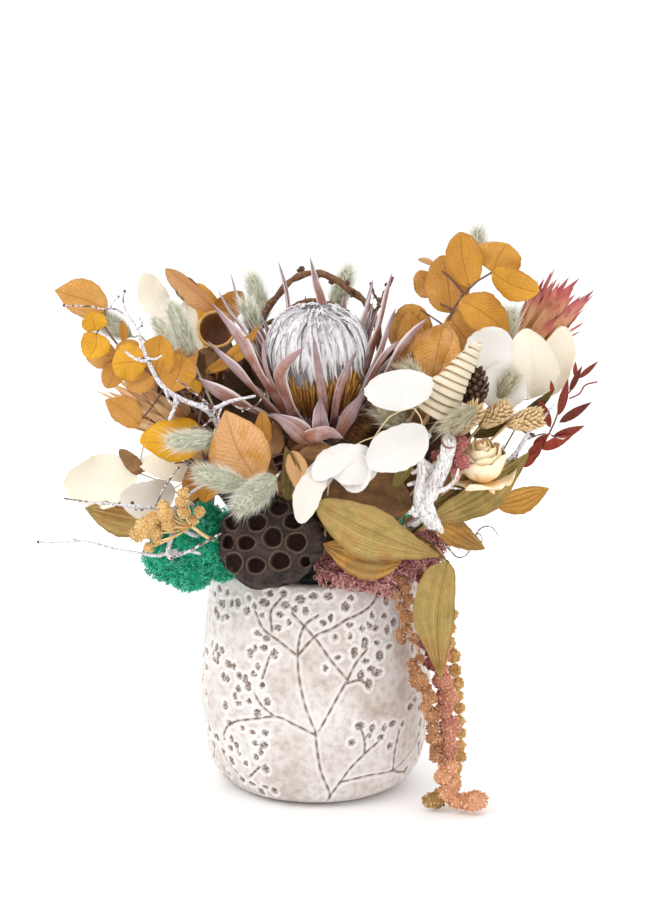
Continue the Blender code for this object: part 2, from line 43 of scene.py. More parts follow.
CAMERA_PITCH = math.radians(12.5)
CAMERA_REACH = 1.4
AIM = Vector((0.0042, 0, 0.208))
camera_data = bpy.data.cameras.new("camera")
camera_data.sensor_width = 36
camera_data.lens = 91.5
camera_data.clip_end = 100
camera = bpy.data.objects.new("camera", camera_data)
camera.location = AIM + CAMERA_REACH * Vector((0, -math.cos(CAMERA_PITCH), math.sin(CAMERA_PITCH)))
camera.rotation_euler = (math.pi / 2 - CAMERA_PITCH, 0, 0)
bpy.context.scene.collection.objects.link(camera)
bpy.context.scene.camera = camera

# Floor and light
# A bright paper sweep with no visible edge, a white surround, a large soft light from the upper left
# and weaker ones from the right and from above.


def rgb(code):
    """The linear colour of an sRGB hex value."""
    parts = [int(code[i : i + 2], 16) / 255 for i in (1, 3, 5)]
    return tuple(p / 12.92 if p <= 0.04045 else ((p + 0.055) / 1.055) ** 2.4 for p in parts) + (1.0,)


def node(tree, kind, inputs=None, stops=(), out=None, **settings):
    """Adds a node with its settings, inputs (values or links) and colour stops, and gives one output."""
    new = tree.nodes.new(kind)
    for name, value in settings.items():
        setattr(new, name, value)
    for key, value in (inputs or {}).items():
        named = (s for s in new.inputs if s.enabled and s.name == key)
        socket = new.inputs[key] if isinstance(key, int) else next(named)
        if isinstance(value, bpy.types.NodeSocket):
            tree.links.new(value, socket)
        else:
            socket.default_value = rgb(value) if str(value).startswith("#") else value
    for place, (position, code) in enumerate(stops):
        elements = new.color_ramp.elements
        stop = elements[place] if place < len(elements) else elements.new(position)
        stop.position = position
        stop.color = rgb(code)
    return new.outputs[out] if out else next((s for s in new.outputs if s.enabled), None)


def finish(name, roughness):
    """A material with one shader of this roughness."""
    made = bpy.data.materials.new(name)
    made.use_nodes = True
    shader = made.node_tree.nodes["Principled BSDF"]
    shader.inputs["Roughness"].default_value = roughness
    return made, made.node_tree, shader


paper, tree, shader = finish("white_paper_sweep", 0.9)
shader.inputs["Base Color"].default_value = rgb("#fdfdfd")
FLOOR_HALF = 30.0
floor_mesh = bpy.data.meshes.new("floor")
floor_corners = [(FLOOR_HALF * x, FLOOR_HALF * y, 0) for x, y in ((-1, -1), (1, -1), (1, 1), (-1, 1))]
floor_mesh.from_pydata(floor_corners, [], [(0, 1, 2, 3)])
floor_mesh.materials.append(paper)
floor = bpy.data.objects.new("floor", floor_mesh)
floor.location.z = -0.0005
bpy.context.scene.collection.objects.link(floor)

surround = bpy.data.worlds.new("white_surround")
surround.use_nodes = True
surround.node_tree.nodes["Background"].inputs["Color"].default_value = rgb("#ffffff")
surround.node_tree.nodes["Background"].inputs["Strength"].default_value = 1.05
bpy.context.scene.world = surround

# Place and size in metres, and power in watts.
LIGHTS = {
    "key": ((-1.1, -0.9, 1.3), 0.9, 11),
    "fill": ((1.3, -1.1, 0.9), 1.2, 4),
    "top": ((0, 0.5, 1.6), 1.2, 6),
}
for light_name, (place, size, power) in LIGHTS.items():
    light_data = bpy.data.lights.new(light_name, "AREA")
    light_data.size = size
    light_data.energy = power
    light = bpy.data.objects.new(light_name, light_data)
    light.location = place
    light.rotation_euler = (AIM - Vector(place)).to_track_quat("-Z", "Y").to_euler()
    bpy.context.scene.collection.objects.link(light)

bpy.context.scene.view_settings.view_transform = "Standard"
bpy.context.scene.view_settings.look = "None"

# Pot
# A barrel of off-white cement, cast in a mould that was pressed with sprigs: the stems are narrow grooves
# with raised lips, the buds crumbly hollows with a raised ring. A brown wash stays in what is sunk.

# Radius and height in mm: up the outside, over the rim, and down the inside to its floor.
POT_OUTSIDE = (
    (46, 0), (50, 0.5), (55, 2.4), (58.6, 4.9), (61.5, 8), (66, 18), (69.4, 34), (71, 54), (70.2, 76),
    (67.9, 100), (65.2, 122), (63.9, 134), (63.5, 137.5), (63, 139.2), (61.5, 140),
)
POT_INSIDE = ((61.5, 140), (58, 140.4), (56.9, 139), (56.6, 136))
POT_HOLLOW = ((55, 40), (48, 9), (20, 8))
# Points round the pot, closer together in front by this many degrees, and up its outside.
POT_AROUND = 400
POT_CROWDING = 14
POT_ROWS = 186
# Radii that turn degrees round the pot into mm: the least where there is relief, and the usual one.
NARROWEST = 55
USUAL_RADIUS = 68
# Sizes of the relief in mm: the groove's half width and depth, its lips' height and distance, the buds'
# depth, the height of their ring, and their smallest and largest radius.
GROOVE = (0.78, 0.75)
LIPS = (0.5, 1.75)
BUD_DEPTH = 0.95
BUD_RING = 0.7
BUD_RADII = (1.8, 3)
# Degrees round the pot from the front and height in mm, for one pressing of the sprig.
SPRIG_STEMS = (
    ((4, 1), (8, 9), (3, 26), (1, 40), (0, 52)), ((0, 51), (-10, 57), (-19, 61), (-30, 58), (-41, 54)),
    ((-20, 61), (-27, 67), (-31, 73)), ((0, 53), (-5, 69), (-8, 86), (-9, 99)),
    ((-9, 99), (-19, 107), (-28, 113), (-33, 122)), ((-9, 99), (-8, 110), (-5, 118), (1, 123)),
    ((-9, 99), (0, 111), (8, 115), (16, 120)), ((2, 54), (10, 72), (16, 84), (21, 94), (27, 101)),
    ((16, 84), (8, 96), (1, 108), (-6, 117), (-12, 124)), ((16, 82), (22, 83), (26, 80)),
    ((16, 120), (24, 123), (31, 127), (36, 133)), ((8, 9), (13, 19), (18, 28), (25, 36), (32, 42)),
    ((13, 19), (28, 21), (45, 20), (55, 25), (62, 32), (66, 42)), ((45, 20), (44, 33), (46, 46)),
    ((45, 20), (52, 16), (58, 15)), ((25, 36), (25, 44), (23, 52)), ((-27, 84), (-24, 96)),
    ((-23, 113), (-24, 124), (-19, 132)), ((-46, 17), (-52, 22), (-57, 30)), ((-37, 18), (-30, 26)),
    ((-41, 54), (-48, 49), (-53, 41)),
)
SPRIG_BUDS = (
    (-59, 121), (-51, 124), (-46, 125), (-54, 115), (-63, 113), (-66, 94), (-60, 94), (-58, 90), (-62, 86),
    (-69, 78), (-49, 87), (-45, 87), (-49, 78), (-41, 82), (-37, 81), (-32, 85), (-30, 90), (-41, 74),
    (-35, 77), (-27, 79), (-43, 69), (-50, 61), (-41, 65), (-34, 68), (-29, 62), (-24, 70), (-47, 51),
    (-38, 50), (-32, 49), (-25, 50), (-59, 37), (-52, 39), (-46, 41), (-31, 42), (-26, 42), (-55, 30),
    (-48, 34), (-43, 37), (-42, 32), (-38, 27), (-31, 33), (-28, 37), (-49, 25), (-26, 26), (-66, 14),
    (-44, 14), (-37, 13), (-32, 8), (-28, 13), (-23, 11), (-56, 129), (-39, 122), (-38, 130), (-34, 126),
    (-29, 121), (-28, 129), (-31, 110), (-20, 115), (-26, 108), (-27, 102), (-35, 97), (-32, 101),
    (-21, 99), (-25, 135), (-17, 136), (-16, 129), (-11, 127), (-8, 133), (-5, 126), (-1, 135), (-14, 119),
    (-19, 123), (7, 135), (8, 122), (4, 119), (18, 117), (10, 110), (18, 110), (25, 114), (29, 115),
    (33, 113), (26, 105), (33, 104), (40, 110), (39, 119), (31, 121), (16, 128), (19, 133), (41, 128),
    (11, 98), (5, 92), (20, 100), (26, 94), (34, 96), (29, 89), (23, 86), (32, 86), (27, 80), (40, 100),
    (45, 114), (22, 55), (29, 52), (27, 48), (41, 52), (36, 51), (48, 50), (18, 45), (34, 45), (40, 38),
    (58, 62), (54, 59), (62, 55), (65, 45), (58, 16), (61, 68), (57, 72),
)
# The mould was pressed three times round: turn in degrees, and 1 or -1 for a mirrored pressing.
PRESSINGS = ((0, 1), (124, 1), (-121, -1))


def steps(values, low, high):
    """Rises smoothly from 0 at low to 1 at high."""
    share = np.clip((values - low) / (high - low), 0, 1)
    return share * share * (3 - 2 * share)


def smooth(points, count):
    """So many points, evenly spaced along a smooth curve through the given ones."""
    given = np.asarray(points, float)
    ends = np.vstack([2 * given[0] - given[1], given, 2 * given[-1] - given[-2]])
    t = np.linspace(0, 1, 12, endpoint=False)[:, None]
    runs = []
    for a, b, c, d in zip(ends[:-3], ends[1:-2], ends[2:-1], ends[3:]):
        squared = (2 * a - 5 * b + 4 * c - d) * t**2
        cubed = (3 * b - a - 3 * c + d) * t**3
        runs.append(0.5 * (2 * b + (c - a) * t + squared + cubed))
    fine = np.vstack(runs + [given[-1:]])
    lengths = np.append(0, np.cumsum(np.linalg.norm(np.diff(fine, axis=0), axis=1)))
    places = np.linspace(0, lengths[-1], count)
    return np.stack([np.interp(places, lengths, fine[:, i]) for i in range(fine.shape[1])], axis=1)


def shape(points, faces, **marks):
    """A piece of mesh as plain arrays: points in mm, lists of faces, and marks of one value a point."""
    faces = [np.asarray(f, int) for f in faces]
    return {"points": np.asarray(points, float), "faces": faces, "marks": marks}


# Degrees between two faces above which their edge is drawn sharp, as at the rim of a leaf.
SHARP_ABOVE = 130


def build(name, shapes, material=None):
    """One object from shapes, in metres, with the marks that its material reads."""
    starts = np.cumsum([0] + [len(s["points"]) for s in shapes])
    faces = [f + start for start, part in zip(starts, shapes) for f in part["faces"]]
    corners = np.concatenate([f.ravel() for f in faces])
    sizes = np.concatenate([np.full(len(f), f.shape[1]) for f in faces])
    points = np.concatenate([s["points"] for s in shapes]) / 1000
    mesh = bpy.data.meshes.new(name)
    mesh.vertices.add(len(points))
    mesh.vertices.foreach_set("co", points.astype(np.float32).ravel())
    mesh.loops.add(len(corners))
    mesh.loops.foreach_set("vertex_index", corners.astype(np.int32))
    mesh.polygons.add(len(sizes))
    mesh.polygons.foreach_set("loop_start", np.append(0, np.cumsum(sizes)[:-1]).astype(np.int32))
    for mark in sorted(set(m for s in shapes for m in s["marks"])):
        values = [np.broadcast_to(s["marks"].get(mark, 0.0), len(s["points"])) for s in shapes]
        layer = mesh.attributes.new(mark, "FLOAT", "POINT")
        layer.data.foreach_set("value", np.concatenate(values).astype(np.float32))
    mesh.update(calc_edges=True)
    mesh.validate()
    if material:
        mesh.materials.append(material)
    mesh.polygons.foreach_set("use_smooth", [True] * len(mesh.polygons))
    mesh.set_sharp_from_angle(angle=math.radians(SHARP_ABOVE))
    made = bpy.data.objects.new(name, mesh)
    bpy.context.scene.collection.objects.link(made)
    return made


def place(piece, slot, *nodes):
    """The piece stands for these CAD nodes, which are hidden, and hangs from the root; the slot is not
    used.
    """
    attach(piece, "root")
    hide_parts(*nodes)


def skin(rows, around):
    """Faces of a pile of rings with a closed seam, and a fan at each end round a pole of its own."""
    ring = np.arange(around)
    after = (ring + 1) % around
    base = np.arange(rows - 1)[:, None] * around
    walls = np.stack([base + ring, base + after, base + around + after, base + around + ring], axis=-1)
    last = rows * around
    low = np.stack([after, ring, np.full(around, last)], axis=1)
    high = np.stack([last - around + ring, last - around + after, np.full(around, last + 1)], axis=1)
    return [walls.reshape(-1, 4), np.vstack([low, high])]


pot_random = np.random.default_rng(4)
outline = smooth(POT_OUTSIDE, POT_ROWS)
turn = np.linspace(-180, 180, POT_AROUND, endpoint=False)
turn = turn - POT_CROWDING * np.sin(np.radians(turn))
turns, heights = np.meshgrid(turn, outline[:, 1])
sunk, raised, wash = np.zeros((3, *turns.shape))
outline_run = np.append(0, np.cumsum(np.linalg.norm(np.diff(outline, axis=0), axis=1)))


def press_near(angle, height, reach):
    """Rows, columns and offsets in mm (round, up) of the pot's points within reach of a place."""
    rows = np.where(np.abs(outline[:, 1] - height) < reach)[0]
    gap = (turn - angle + 180) % 360 - 180
    columns = np.where(np.abs(gap) < np.degrees(reach / NARROWEST))[0]
    across = np.radians(gap[columns])[None, :] * outline[rows, 0][:, None]
    run_here = np.interp(height, outline[:, 1][3:], outline_run[3:])
    up = np.broadcast_to((outline_run[rows] - run_here)[:, None], across.shape)
    return np.ix_(rows, columns), across, up


def press(cells, *pressed):
    """Keeps the larger of the old and new values at these cells of each field."""
    for field, values in zip((sunk, raised, wash), pressed):
        field[cells] = np.maximum(field[cells], values)


for pressing_turn, side in PRESSINGS:
    for stem in SPRIG_STEMS:
        route = smooth(stem, 10 * len(stem))
        for number, (angle, height) in enumerate(route):
            ahead = route[min(number + 1, len(route) - 1)] - route[max(number - 1, 0)]
            run = np.array([math.radians(ahead[0]) * USUAL_RADIUS * side, ahead[1]])
            run /= max(np.hypot(*run), 1e-6)
            cells, across, up = press_near(pressing_turn + side * angle, height, 4.5)
            off = across * run[1] - up * run[0]
            near = np.exp(-(((across * run[0] + up * run[1]) / 1.6) ** 2))
            broken = min(1.0, 0.72 + 0.6 * math.sin(number * 0.9 + route[0][1]))
            press(
                cells, GROOVE[1] * np.exp(-((off / GROOVE[0]) ** 2)) * near,
                LIPS[0] * np.exp(-(((np.abs(off) - LIPS[1]) / 0.75) ** 2)) * near,
                np.exp(-((off / 0.8) ** 2)) * near * (0.45 + 0.55 * broken),
            )
    for angle, height in SPRIG_BUDS:
        radius = pot_random.uniform(*BUD_RADII)
        cells, across, up = press_near(pressing_turn + side * angle, height, 6)
        stretch = pot_random.uniform(0.8, 1.25)
        ragged = np.hypot(across * stretch, up / stretch)
        ragged = ragged + pot_random.normal(0, 0.3, ragged.shape)
        inside = 1 - steps(ragged, radius - 0.5, radius + 0.3)
        crumbs = pot_random.uniform(0.1, 1, inside.shape)
        ring_here = BUD_RING * np.exp(-(((ragged - radius - 1) / 0.95) ** 2))
        press(cells, BUD_DEPTH * inside * crumbs, ring_here, inside * (0.2 + 0.8 * crumbs))
# A groove cuts through the lips that it crosses, and the relief fades out at the pot's foot.
raised *= 1 - np.clip(sunk * 1.6, 0, 1)
fade = steps(heights, 0.6, 5)
ripple = 0.22 * np.sin(np.radians(turns) * 3 + heights / 17)
ripple = ripple + 0.16 * np.sin(np.radians(turns) * 7 - heights / 9)
bulge = (raised - sunk + ripple) * fade
slope = np.gradient(outline, axis=0)
slope /= np.linalg.norm(slope, axis=1)[:, None]
inner = np.vstack([smooth(POT_INSIDE, 6)[1:], POT_HOLLOW])
out, level = (np.repeat(inner[:, i : i + 1], POT_AROUND, axis=1) for i in (0, 1))
out = np.vstack([outline[:, :1] + bulge * slope[:, 1:], out])
level = np.vstack([outline[:, 1:] - bulge * slope[:, :1] * fade, level])
angles = np.radians(turn)
pot_points = np.stack([out * np.sin(angles), -out * np.cos(angles), level], axis=-1).reshape(-1, 3)
unmarked = np.zeros(len(inner) * POT_AROUND + 2)
pot_shape = shape(
    np.vstack([pot_points, [(0, 0, 0), (0, 0, 8)]]), skin(len(out), POT_AROUND),
    wash=np.append(wash * fade, unmarked), raised=np.append(raised * fade, unmarked),
)


def cover(tree, shader, ground, layers, height, strength, depth):
    """Lays colours over a ground colour through their masks, and gives the surface its fine relief."""
    for mask, colour in layers:
        ground = node(tree, "ShaderNodeMix", {"Factor": mask, "A": ground, "B": colour}, data_type="RGBA")
    bump = node(tree, "ShaderNodeBump", {"Height": height, "Strength": strength, "Distance": depth})
    tree.links.new(ground, shader.inputs["Base Color"])
    tree.links.new(bump, shader.inputs["Normal"])


def read_marks(tree, *names):
    """The values of the marks that the mesh carries."""
    return [node(tree, "ShaderNodeAttribute", out="Fac", attribute_name=name) for name in names]


# Cast cement: chalky and rough, with clouds of warm stain, fine pits, and a brown glaze wiped off all
# but the hollows. The stain clouds are 20 to 60 mm across, the specks and pits 4 mm at most.
cement, tree, shader = finish("cast_cement_washed_brown", 0.88)
where = node(tree, "ShaderNodeTexCoord", out="Object")
clouds = node(tree, "ShaderNodeTexNoise", {"Vector": where, "Scale": 26, "Detail": 5, "Roughness": 0.62})
grain = node(tree, "ShaderNodeTexNoise", {"Vector": where, "Scale": 240, "Detail": 4})
stains = ((0.33, "#c0b3a9"), (0.44, "#d3cac4"), (0.62, "#e0dad7"))
stained = node(tree, "ShaderNodeValToRGB", {"Fac": clouds}, stains)
speckled = node(tree, "ShaderNodeValToRGB", {"Fac": grain}, ((0.3, "#d8cfc8"), (0.55, "#ffffff")))
chalky = {"Factor": 0.7, "A": stained, "B": speckled}
chalk = node(tree, "ShaderNodeMix", chalky, data_type="RGBA", blend_type="MULTIPLY")
raised_mark, wash_mark = read_marks(tree, "raised", "wash")
wash_edge = node(tree, "ShaderNodeMapRange", {"Value": wash_mark, "From Min": 0.2, "From Max": 0.85})
cover(tree, shader, chalk, ((raised_mark, "#f4f1ef"), (wash_edge, "#6c5747")), grain, 0.35, 0.0006)
place(build("pot_washed_cement", [pot_shape], cement), "cement", "pot")

# Floral foam
# A dark plug of dry foam fills the pot to its rim and holds every stem. Its cut face is full of fine
# cells, drawn at 0.8 mm so that they show.

foam_finish, tree, shader = finish("dry_floral_foam", 0.95)
where = node(tree, "ShaderNodeTexCoord", out="Object")
cells = node(tree, "ShaderNodeTexVoronoi", {"Vector": where, "Scale": 1200})
dust = node(tree, "ShaderNodeTexNoise", {"Vector": where, "Scale": 90, "Detail": 4})
foam_colour = node(tree, "ShaderNodeValToRGB", {"Fac": dust}, ((0.35, "#1f2225"), (0.65, "#3a3e43")))
cover(tree, shader, foam_colour, (), cells, 0.6, 0.0006)
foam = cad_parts["floral_foam"]
foam.data.materials.clear()
foam.data.materials.append(foam_finish)

# Lotus pod
# The dried seed pod of a lotus on its stem: a woody funnel whose flat face is pierced by seed holes with
# paper-thin rims. It is pushed into the foam so that the face looks out over the front of the rim.

POD_CENTRE = np.array([-27.0, -85.0, 173.0])
POD_OUT = np.array([-0.10, -0.955, 0.28])
POD_HALF = (31, 26.4)
POD_GRID = 88
POD_DEPTH = 26.0
HOLE_DEPTH = 7.0
# Places and half sizes of the seed holes on the face, in mm right and up of its middle.
POD_HOLES = (
    (2.6, 3, 5.5, 5.9), (16.4, 0.6, 6, 5.6), (7.2, -10.4, 6, 5.4), (-6.6, -13.4, 5.4, 4.7),
    (-20, -12.2, 5.4, 6), (-12.8, -0.6, 5.3, 4.4), (-23.6, -0.6, 3.8, 4.4), (-6.8, 11.4, 5.6, 5.2),
    (-21.4, 11.4, 4.6, 5), (14.2, 12.8, 5.4, 5), (5.4, 20.2, 5.6, 4.6), (-12.4, 21, 4.6, 4.2),
    (21.4, -10.4, 3.2, 3.4),
)
# The funnel behind the face: shares of its depth, and of the face's width there.
POD_BACK = (
    (0.03, 0.985), (0.09, 0.93), (0.18, 0.84), (0.3, 0.71), (0.44, 0.56), (0.58, 0.42), (0.72, 0.3),
    (0.86, 0.19), (1, 0.1),
)


def unit(vector):
    """The same direction, one long."""
    vector = np.asarray(vector, float)
    return vector / np.linalg.norm(vector, axis=-1, keepdims=True)


def quads(index):
    """Quads between neighbours of a grid of point numbers, facing columns cross rows."""
    corners = [index[:-1, :-1], index[:-1, 1:], index[1:, 1:], index[1:, :-1]]
    return np.stack(corners, axis=-1).reshape(-1, 4)


def rod(points, radii, sides, **marks):
    """A closed round rod along a path, with its own radius at each point."""
    points = np.asarray(points, float)
    count = len(points)
    radii = np.broadcast_to(np.asarray(radii, float), count)
    tangents = unit(np.gradient(points, axis=0))
    normal = np.cross(tangents[0], (0.31, 0.87, 0.39) if abs(tangents[0][2]) > 0.5 else (0.1, 0.2, 0.97))
    normals = []
    for tangent in tangents:
        normal = unit(normal - tangent * (normal @ tangent))
        normals.append(normal)
    normals = np.array(normals)
    sideways = np.cross(tangents, normals)
    angle = np.linspace(0, 2 * np.pi, sides, endpoint=False)[None, :, None]
    around = np.cos(angle) * normals[:, None] + np.sin(angle) * sideways[:, None]
    rings = points[:, None] + radii[:, None, None] * around
    poles = [points[0] - tangents[0] * radii[0] * 0.5, points[-1] + tangents[-1] * radii[-1] * 0.5]
    along = np.append(np.repeat(np.linspace(0, 1, count), sides), (0, 1))
    return shape(np.vstack([rings.reshape(-1, 3), poles]), skin(count, sides), along=along, **marks)


pod_random = np.random.default_rng(7)
pod_out = unit(POD_OUT)
pod_right = unit(np.cross((0, 0, 1), pod_out))
pod_up = np.cross(pod_out, pod_right)
over, up = np.meshgrid(*[np.linspace(-1, 1, POD_GRID)] * 2)
disc_x, disc_y = over * np.sqrt(1 - up**2 / 2), up * np.sqrt(1 - over**2 / 2)
about, share = np.arctan2(disc_y, disc_x), np.hypot(disc_x, disc_y)
lobes = 0.035 * np.sin(3 * about + 1) + 0.02 * np.sin(7 * about + 2) + 0.012 * np.sin(17 * about)
lobed = 1 + lobes * share**3
face_x = disc_x * POD_HALF[0] * lobed
face_y = disc_y * POD_HALF[1] * lobed
# The face swells in the middle, falls off at a puckered edge and has a groove just inside it.
rise = 2.4 * (1 - share**2) - 6.5 * np.clip((share - 0.82) / 0.18, 0, 1) ** 2
rise += 0.7 * np.sin(about * 23 + share * 9) * steps(share, 0.72, 0.95)
rise += 0.5 * np.sin(about * 41 - share * 21) * steps(share, 0.76, 0.9)
rise -= 0.9 * np.exp(-(((share - 0.84 - 0.02 * np.sin(3 * about)) / 0.03) ** 2))
hollow, rim = np.zeros((2, *face_x.shape))
for hole_x, hole_y, half_x, half_y in POD_HOLES:
    turn_here = np.arctan2(face_y - hole_y, face_x - hole_x)
    bend = 0.92 + 0.03 * np.cos(3 * turn_here + hole_x) + 0.02 * np.cos(5 * turn_here + hole_y)
    away = np.hypot((face_x - hole_x) / half_x, (face_y - hole_y) / half_y) / bend
    hollow = np.maximum(hollow, 1 - steps(away, 0.86, 1.02))
    rim = np.maximum(rim, np.exp(-(((away - 1.12) / 0.1) ** 2)))
wrinkled = np.sin(face_x * 1.9 + 2.2 * np.sin(face_y * 0.8))
wrinkled *= np.sin(face_y * 1.7 + 1.9 * np.sin(face_x * 0.7))
pitted = pod_random.normal(0, 0.14, face_x.shape)
rise += 0.8 * rim - HOLE_DEPTH * hollow + 0.45 * wrinkled * (1 - hollow) + pitted
face_points = POD_CENTRE + face_x[..., None] * pod_right + face_y[..., None] * pod_up
face_points = face_points + rise[..., None] * pod_out
numbers = np.arange(POD_GRID**2).reshape(POD_GRID, POD_GRID)
border = np.concatenate([numbers[0, :-1], numbers[:-1, -1], numbers[-1, :0:-1], numbers[:0:-1, 0]])
edge_turn = about.ravel()[border]
flat = face_points.reshape(-1, 3)[border] - POD_CENTRE
flat = flat - (flat @ pod_out)[:, None] * pod_out
pod_points = [face_points.reshape(-1, 3)]
pod_faces = [quads(numbers)]
ring = border
for number, (back, narrow) in enumerate(POD_BACK):
    ridge = 1 + 0.05 * np.sin(edge_turn * 31) * min(number / 2, 1) + 0.03 * np.sin(edge_turn * 9 + number)
    middle = POD_CENTRE - pod_out * POD_DEPTH * back - pod_out * 4
    pod_points.append(middle + flat * (narrow * ridge)[:, None])
    behind = POD_GRID**2 + number * len(border) + np.arange(len(border))
    pod_faces.append(np.stack([behind, np.roll(behind, -1), np.roll(ring, -1), ring], axis=-1))
    ring = behind
pod_tip = POD_CENTRE - pod_out * (POD_DEPTH + 6)
pod_points = np.vstack(pod_points + [pod_tip])
pod_faces.append(np.stack([np.roll(ring, -1), ring, np.full(len(border), len(pod_points) - 1)], axis=-1))
unmarked = np.zeros(len(pod_points) - POD_GRID**2)
pod_shape = shape(pod_points, pod_faces, hollow=np.append(hollow, unmarked), rim=np.append(rim, unmarked))
pod_route = smooth([(-14, -34, 122), (-17, -41, 148), pod_tip + (1, 4, -3), pod_tip], 14)
pod_stem = rod(pod_route, np.linspace(2.4, 2.6, 14), 10)

# Dried lotus receptacle: spongy brown tissue shrunk to wrinkles 1 to 2 mm apart, paler where the
# thin hole rims catch light, and a reddish painted shade inside the holes.
pod_finish, tree, shader = finish("dried_lotus_receptacle", 0.82)
where = node(tree, "ShaderNodeTexCoord", out="Object")
blotches = node(tree, "ShaderNodeTexNoise", {"Vector": where, "Scale": 110, "Detail": 6})
wrinkles = node(tree, "ShaderNodeTexNoise", {"Vector": where, "Scale": 620, "Detail": 4, "Distortion": 1.4})
browns = ((0.34, "#1e1511"), (0.52, "#352822"), (0.7, "#4e3d32"))
pod_skin = node(tree, "ShaderNodeValToRGB", {"Fac": blotches}, browns)
rim_mark, hollow_mark = read_marks(tree, "rim", "hollow")
# The hole rims get a painted highlight and the holes a painted shade.
cover(tree, shader, pod_skin, ((rim_mark, "#6b5646"), (hollow_mark, "#33190f")), wrinkles, 0.9, 0.0012)
place(build("lotus_pod_dried", [pod_shape, pod_stem], pod_finish), "lotus_pod", "lotus_pod")

# Moss
# Cushions of preserved reindeer moss, dyed green and dusty pink, pinned onto the foam and spilling over
# the rim. Each is a mass of forked branchlets, about 0.8 mm thick at the foot and pointed at the tip.

# Middle of each lobe and its half sizes, in mm.
GREEN_LOBES = (
    ((-66, -58, 166), 15.5, 15), ((-88, -52, 155), 11.5, 12), ((-87, -46, 167.5), 9, 8.5),
    ((-74, -57, 149.5), 12.5, 10), ((-66, -50, 176), 11, 9), ((-56, -45, 155), 10, 13),
)
PINK_LOBES = (
    ((10, -62, 152), 7, 7.5), ((20, -62, 152), 10, 9.5), ((33, -60, 151), 12, 10.5),
    ((47, -50, 152), 12, 10), ((58, -34, 152), 11.5, 11), ((66, -18, 151), 10, 10), ((43, -58, 142), 8, 6),
)
BACK_LOBES = (
    ((-42, 55, 150), 17, 12), ((-17, 64, 151), 17, 13), ((13, 65, 150), 17, 12), ((42, 54, 150), 17, 13),
    ((-58, 34, 150), 12, 9), ((60, 30, 150), 12, 9),
)


def spike(base, tip, radius, **marks):
    """A thin three-sided spike, the smallest solid that still shows as a hair or branchlet."""
    base, tip = np.asarray(base, float), np.asarray(tip, float)
    line = unit(tip - base)
    first = unit(np.cross(line, (0.3, 0.5, 0.81) if abs(line[2]) < 0.8 else (1, 0.1, 0)))
    second = np.cross(line, first)
    corners = [base + radius * (math.cos(a) * first + math.sin(a) * second) for a in (0, 2.094, 4.189)]
    faces = [[(0, 1, 3), (1, 2, 3), (2, 0, 3), (2, 1, 0)]]
    return shape(corners + [tip], faces, along=np.array([0, 0, 0, 1.0]), **marks)


def growth_tree():
    """Scatters a sprig over a ground mesh, but not its stems, and joins both into one mesh."""
    tree = bpy.data.node_groups.new("growth", "GeometryNodeTree")
    sockets = {
        "Ground": "Geometry", "Sprig": "Object", "Density": "Float", "Seed": "Int", "Smallest": "Float",
        "Largest": "Float", "Spread": "Float", "Lean": "Vector", "Finish": "Material",
    }
    for name, kind in sockets.items():
        tree.interface.new_socket(name, in_out="INPUT", socket_type="NodeSocket" + kind)
    tree.interface.new_socket("Grown", in_out="OUTPUT", socket_type="NodeSocketGeometry")
    given = node(tree, "NodeGroupInput").node.outputs
    seed = {"Seed": given["Seed"]}
    stem_mark = node(tree, "GeometryNodeInputNamedAttribute", {"Name": "stem"}, data_type="FLOAT")
    off_stems = node(tree, "ShaderNodeMath", {0: 1, 1: stem_mark}, operation="SUBTRACT")
    thinned = node(tree, "ShaderNodeMath", {0: given["Density"], 1: off_stems}, operation="MULTIPLY")
    ground = {"Mesh": given["Ground"], "Density": thinned}
    spots = node(tree, "GeometryNodeDistributePointsOnFaces", ground | seed)
    sprig = node(tree, "GeometryNodeObjectInfo", {"Object": given["Sprig"]}, out="Geometry")
    back = node(tree, "ShaderNodeVectorMath", {0: given["Spread"], 1: (-1, -1, -1)}, operation="MULTIPLY")
    swing = {0: back, 1: given["Spread"]}
    jitter = node(tree, "FunctionNodeRandomValue", swing | seed, data_type="FLOAT_VECTOR")
    lean = {0: spots.node.outputs["Normal"], 1: given["Lean"]}
    leaning = node(tree, "ShaderNodeVectorMath", lean, operation="ADD")
    growing = node(tree, "ShaderNodeVectorMath", {0: leaning, 1: jitter}, operation="ADD")
    upright = node(tree, "FunctionNodeAlignRotationToVector", {"Vector": growing}, axis="Z")
    spin = node(tree, "FunctionNodeRandomValue", {2: 0, 3: 6.283} | seed, data_type="FLOAT")
    spin_turn = node(tree, "ShaderNodeCombineXYZ", {"Z": spin})
    as_turn = node(tree, "FunctionNodeEulerToRotation", {"Euler": spin_turn})
    turns = {"Rotation": upright, "Rotate By": as_turn}
    turned = node(tree, "FunctionNodeRotateRotation", turns, rotation_space="LOCAL")
    sizes = {2: given["Smallest"], 3: given["Largest"]}
    size = node(tree, "FunctionNodeRandomValue", sizes | seed, data_type="FLOAT")
    planting = {"Points": spots, "Instance": sprig, "Rotation": turned, "Scale": size}
    planted = node(tree, "GeometryNodeInstanceOnPoints", planting)
    shade = node(tree, "FunctionNodeRandomValue", {2: 0, 3: 1, "Seed": 5}, data_type="FLOAT")
    tone = {"Geometry": planted, "Name": "tone", "Value": shade}
    toned = node(tree, "GeometryNodeStoreNamedAttribute", tone, data_type="FLOAT", domain="INSTANCE")
    plain = node(tree, "GeometryNodeRealizeInstances", {"Geometry": toned})
    together = node(tree, "GeometryNodeJoinGeometry", {"Geometry": plain})
    tree.links.new(given["Ground"], together.node.inputs["Geometry"])
    finished = node(tree, "GeometryNodeSetMaterial", {"Geometry": together, "Material": given["Finish"]})
    node(tree, "NodeGroupOutput", {"Grown": finished})
    return tree


growth = growth_tree()


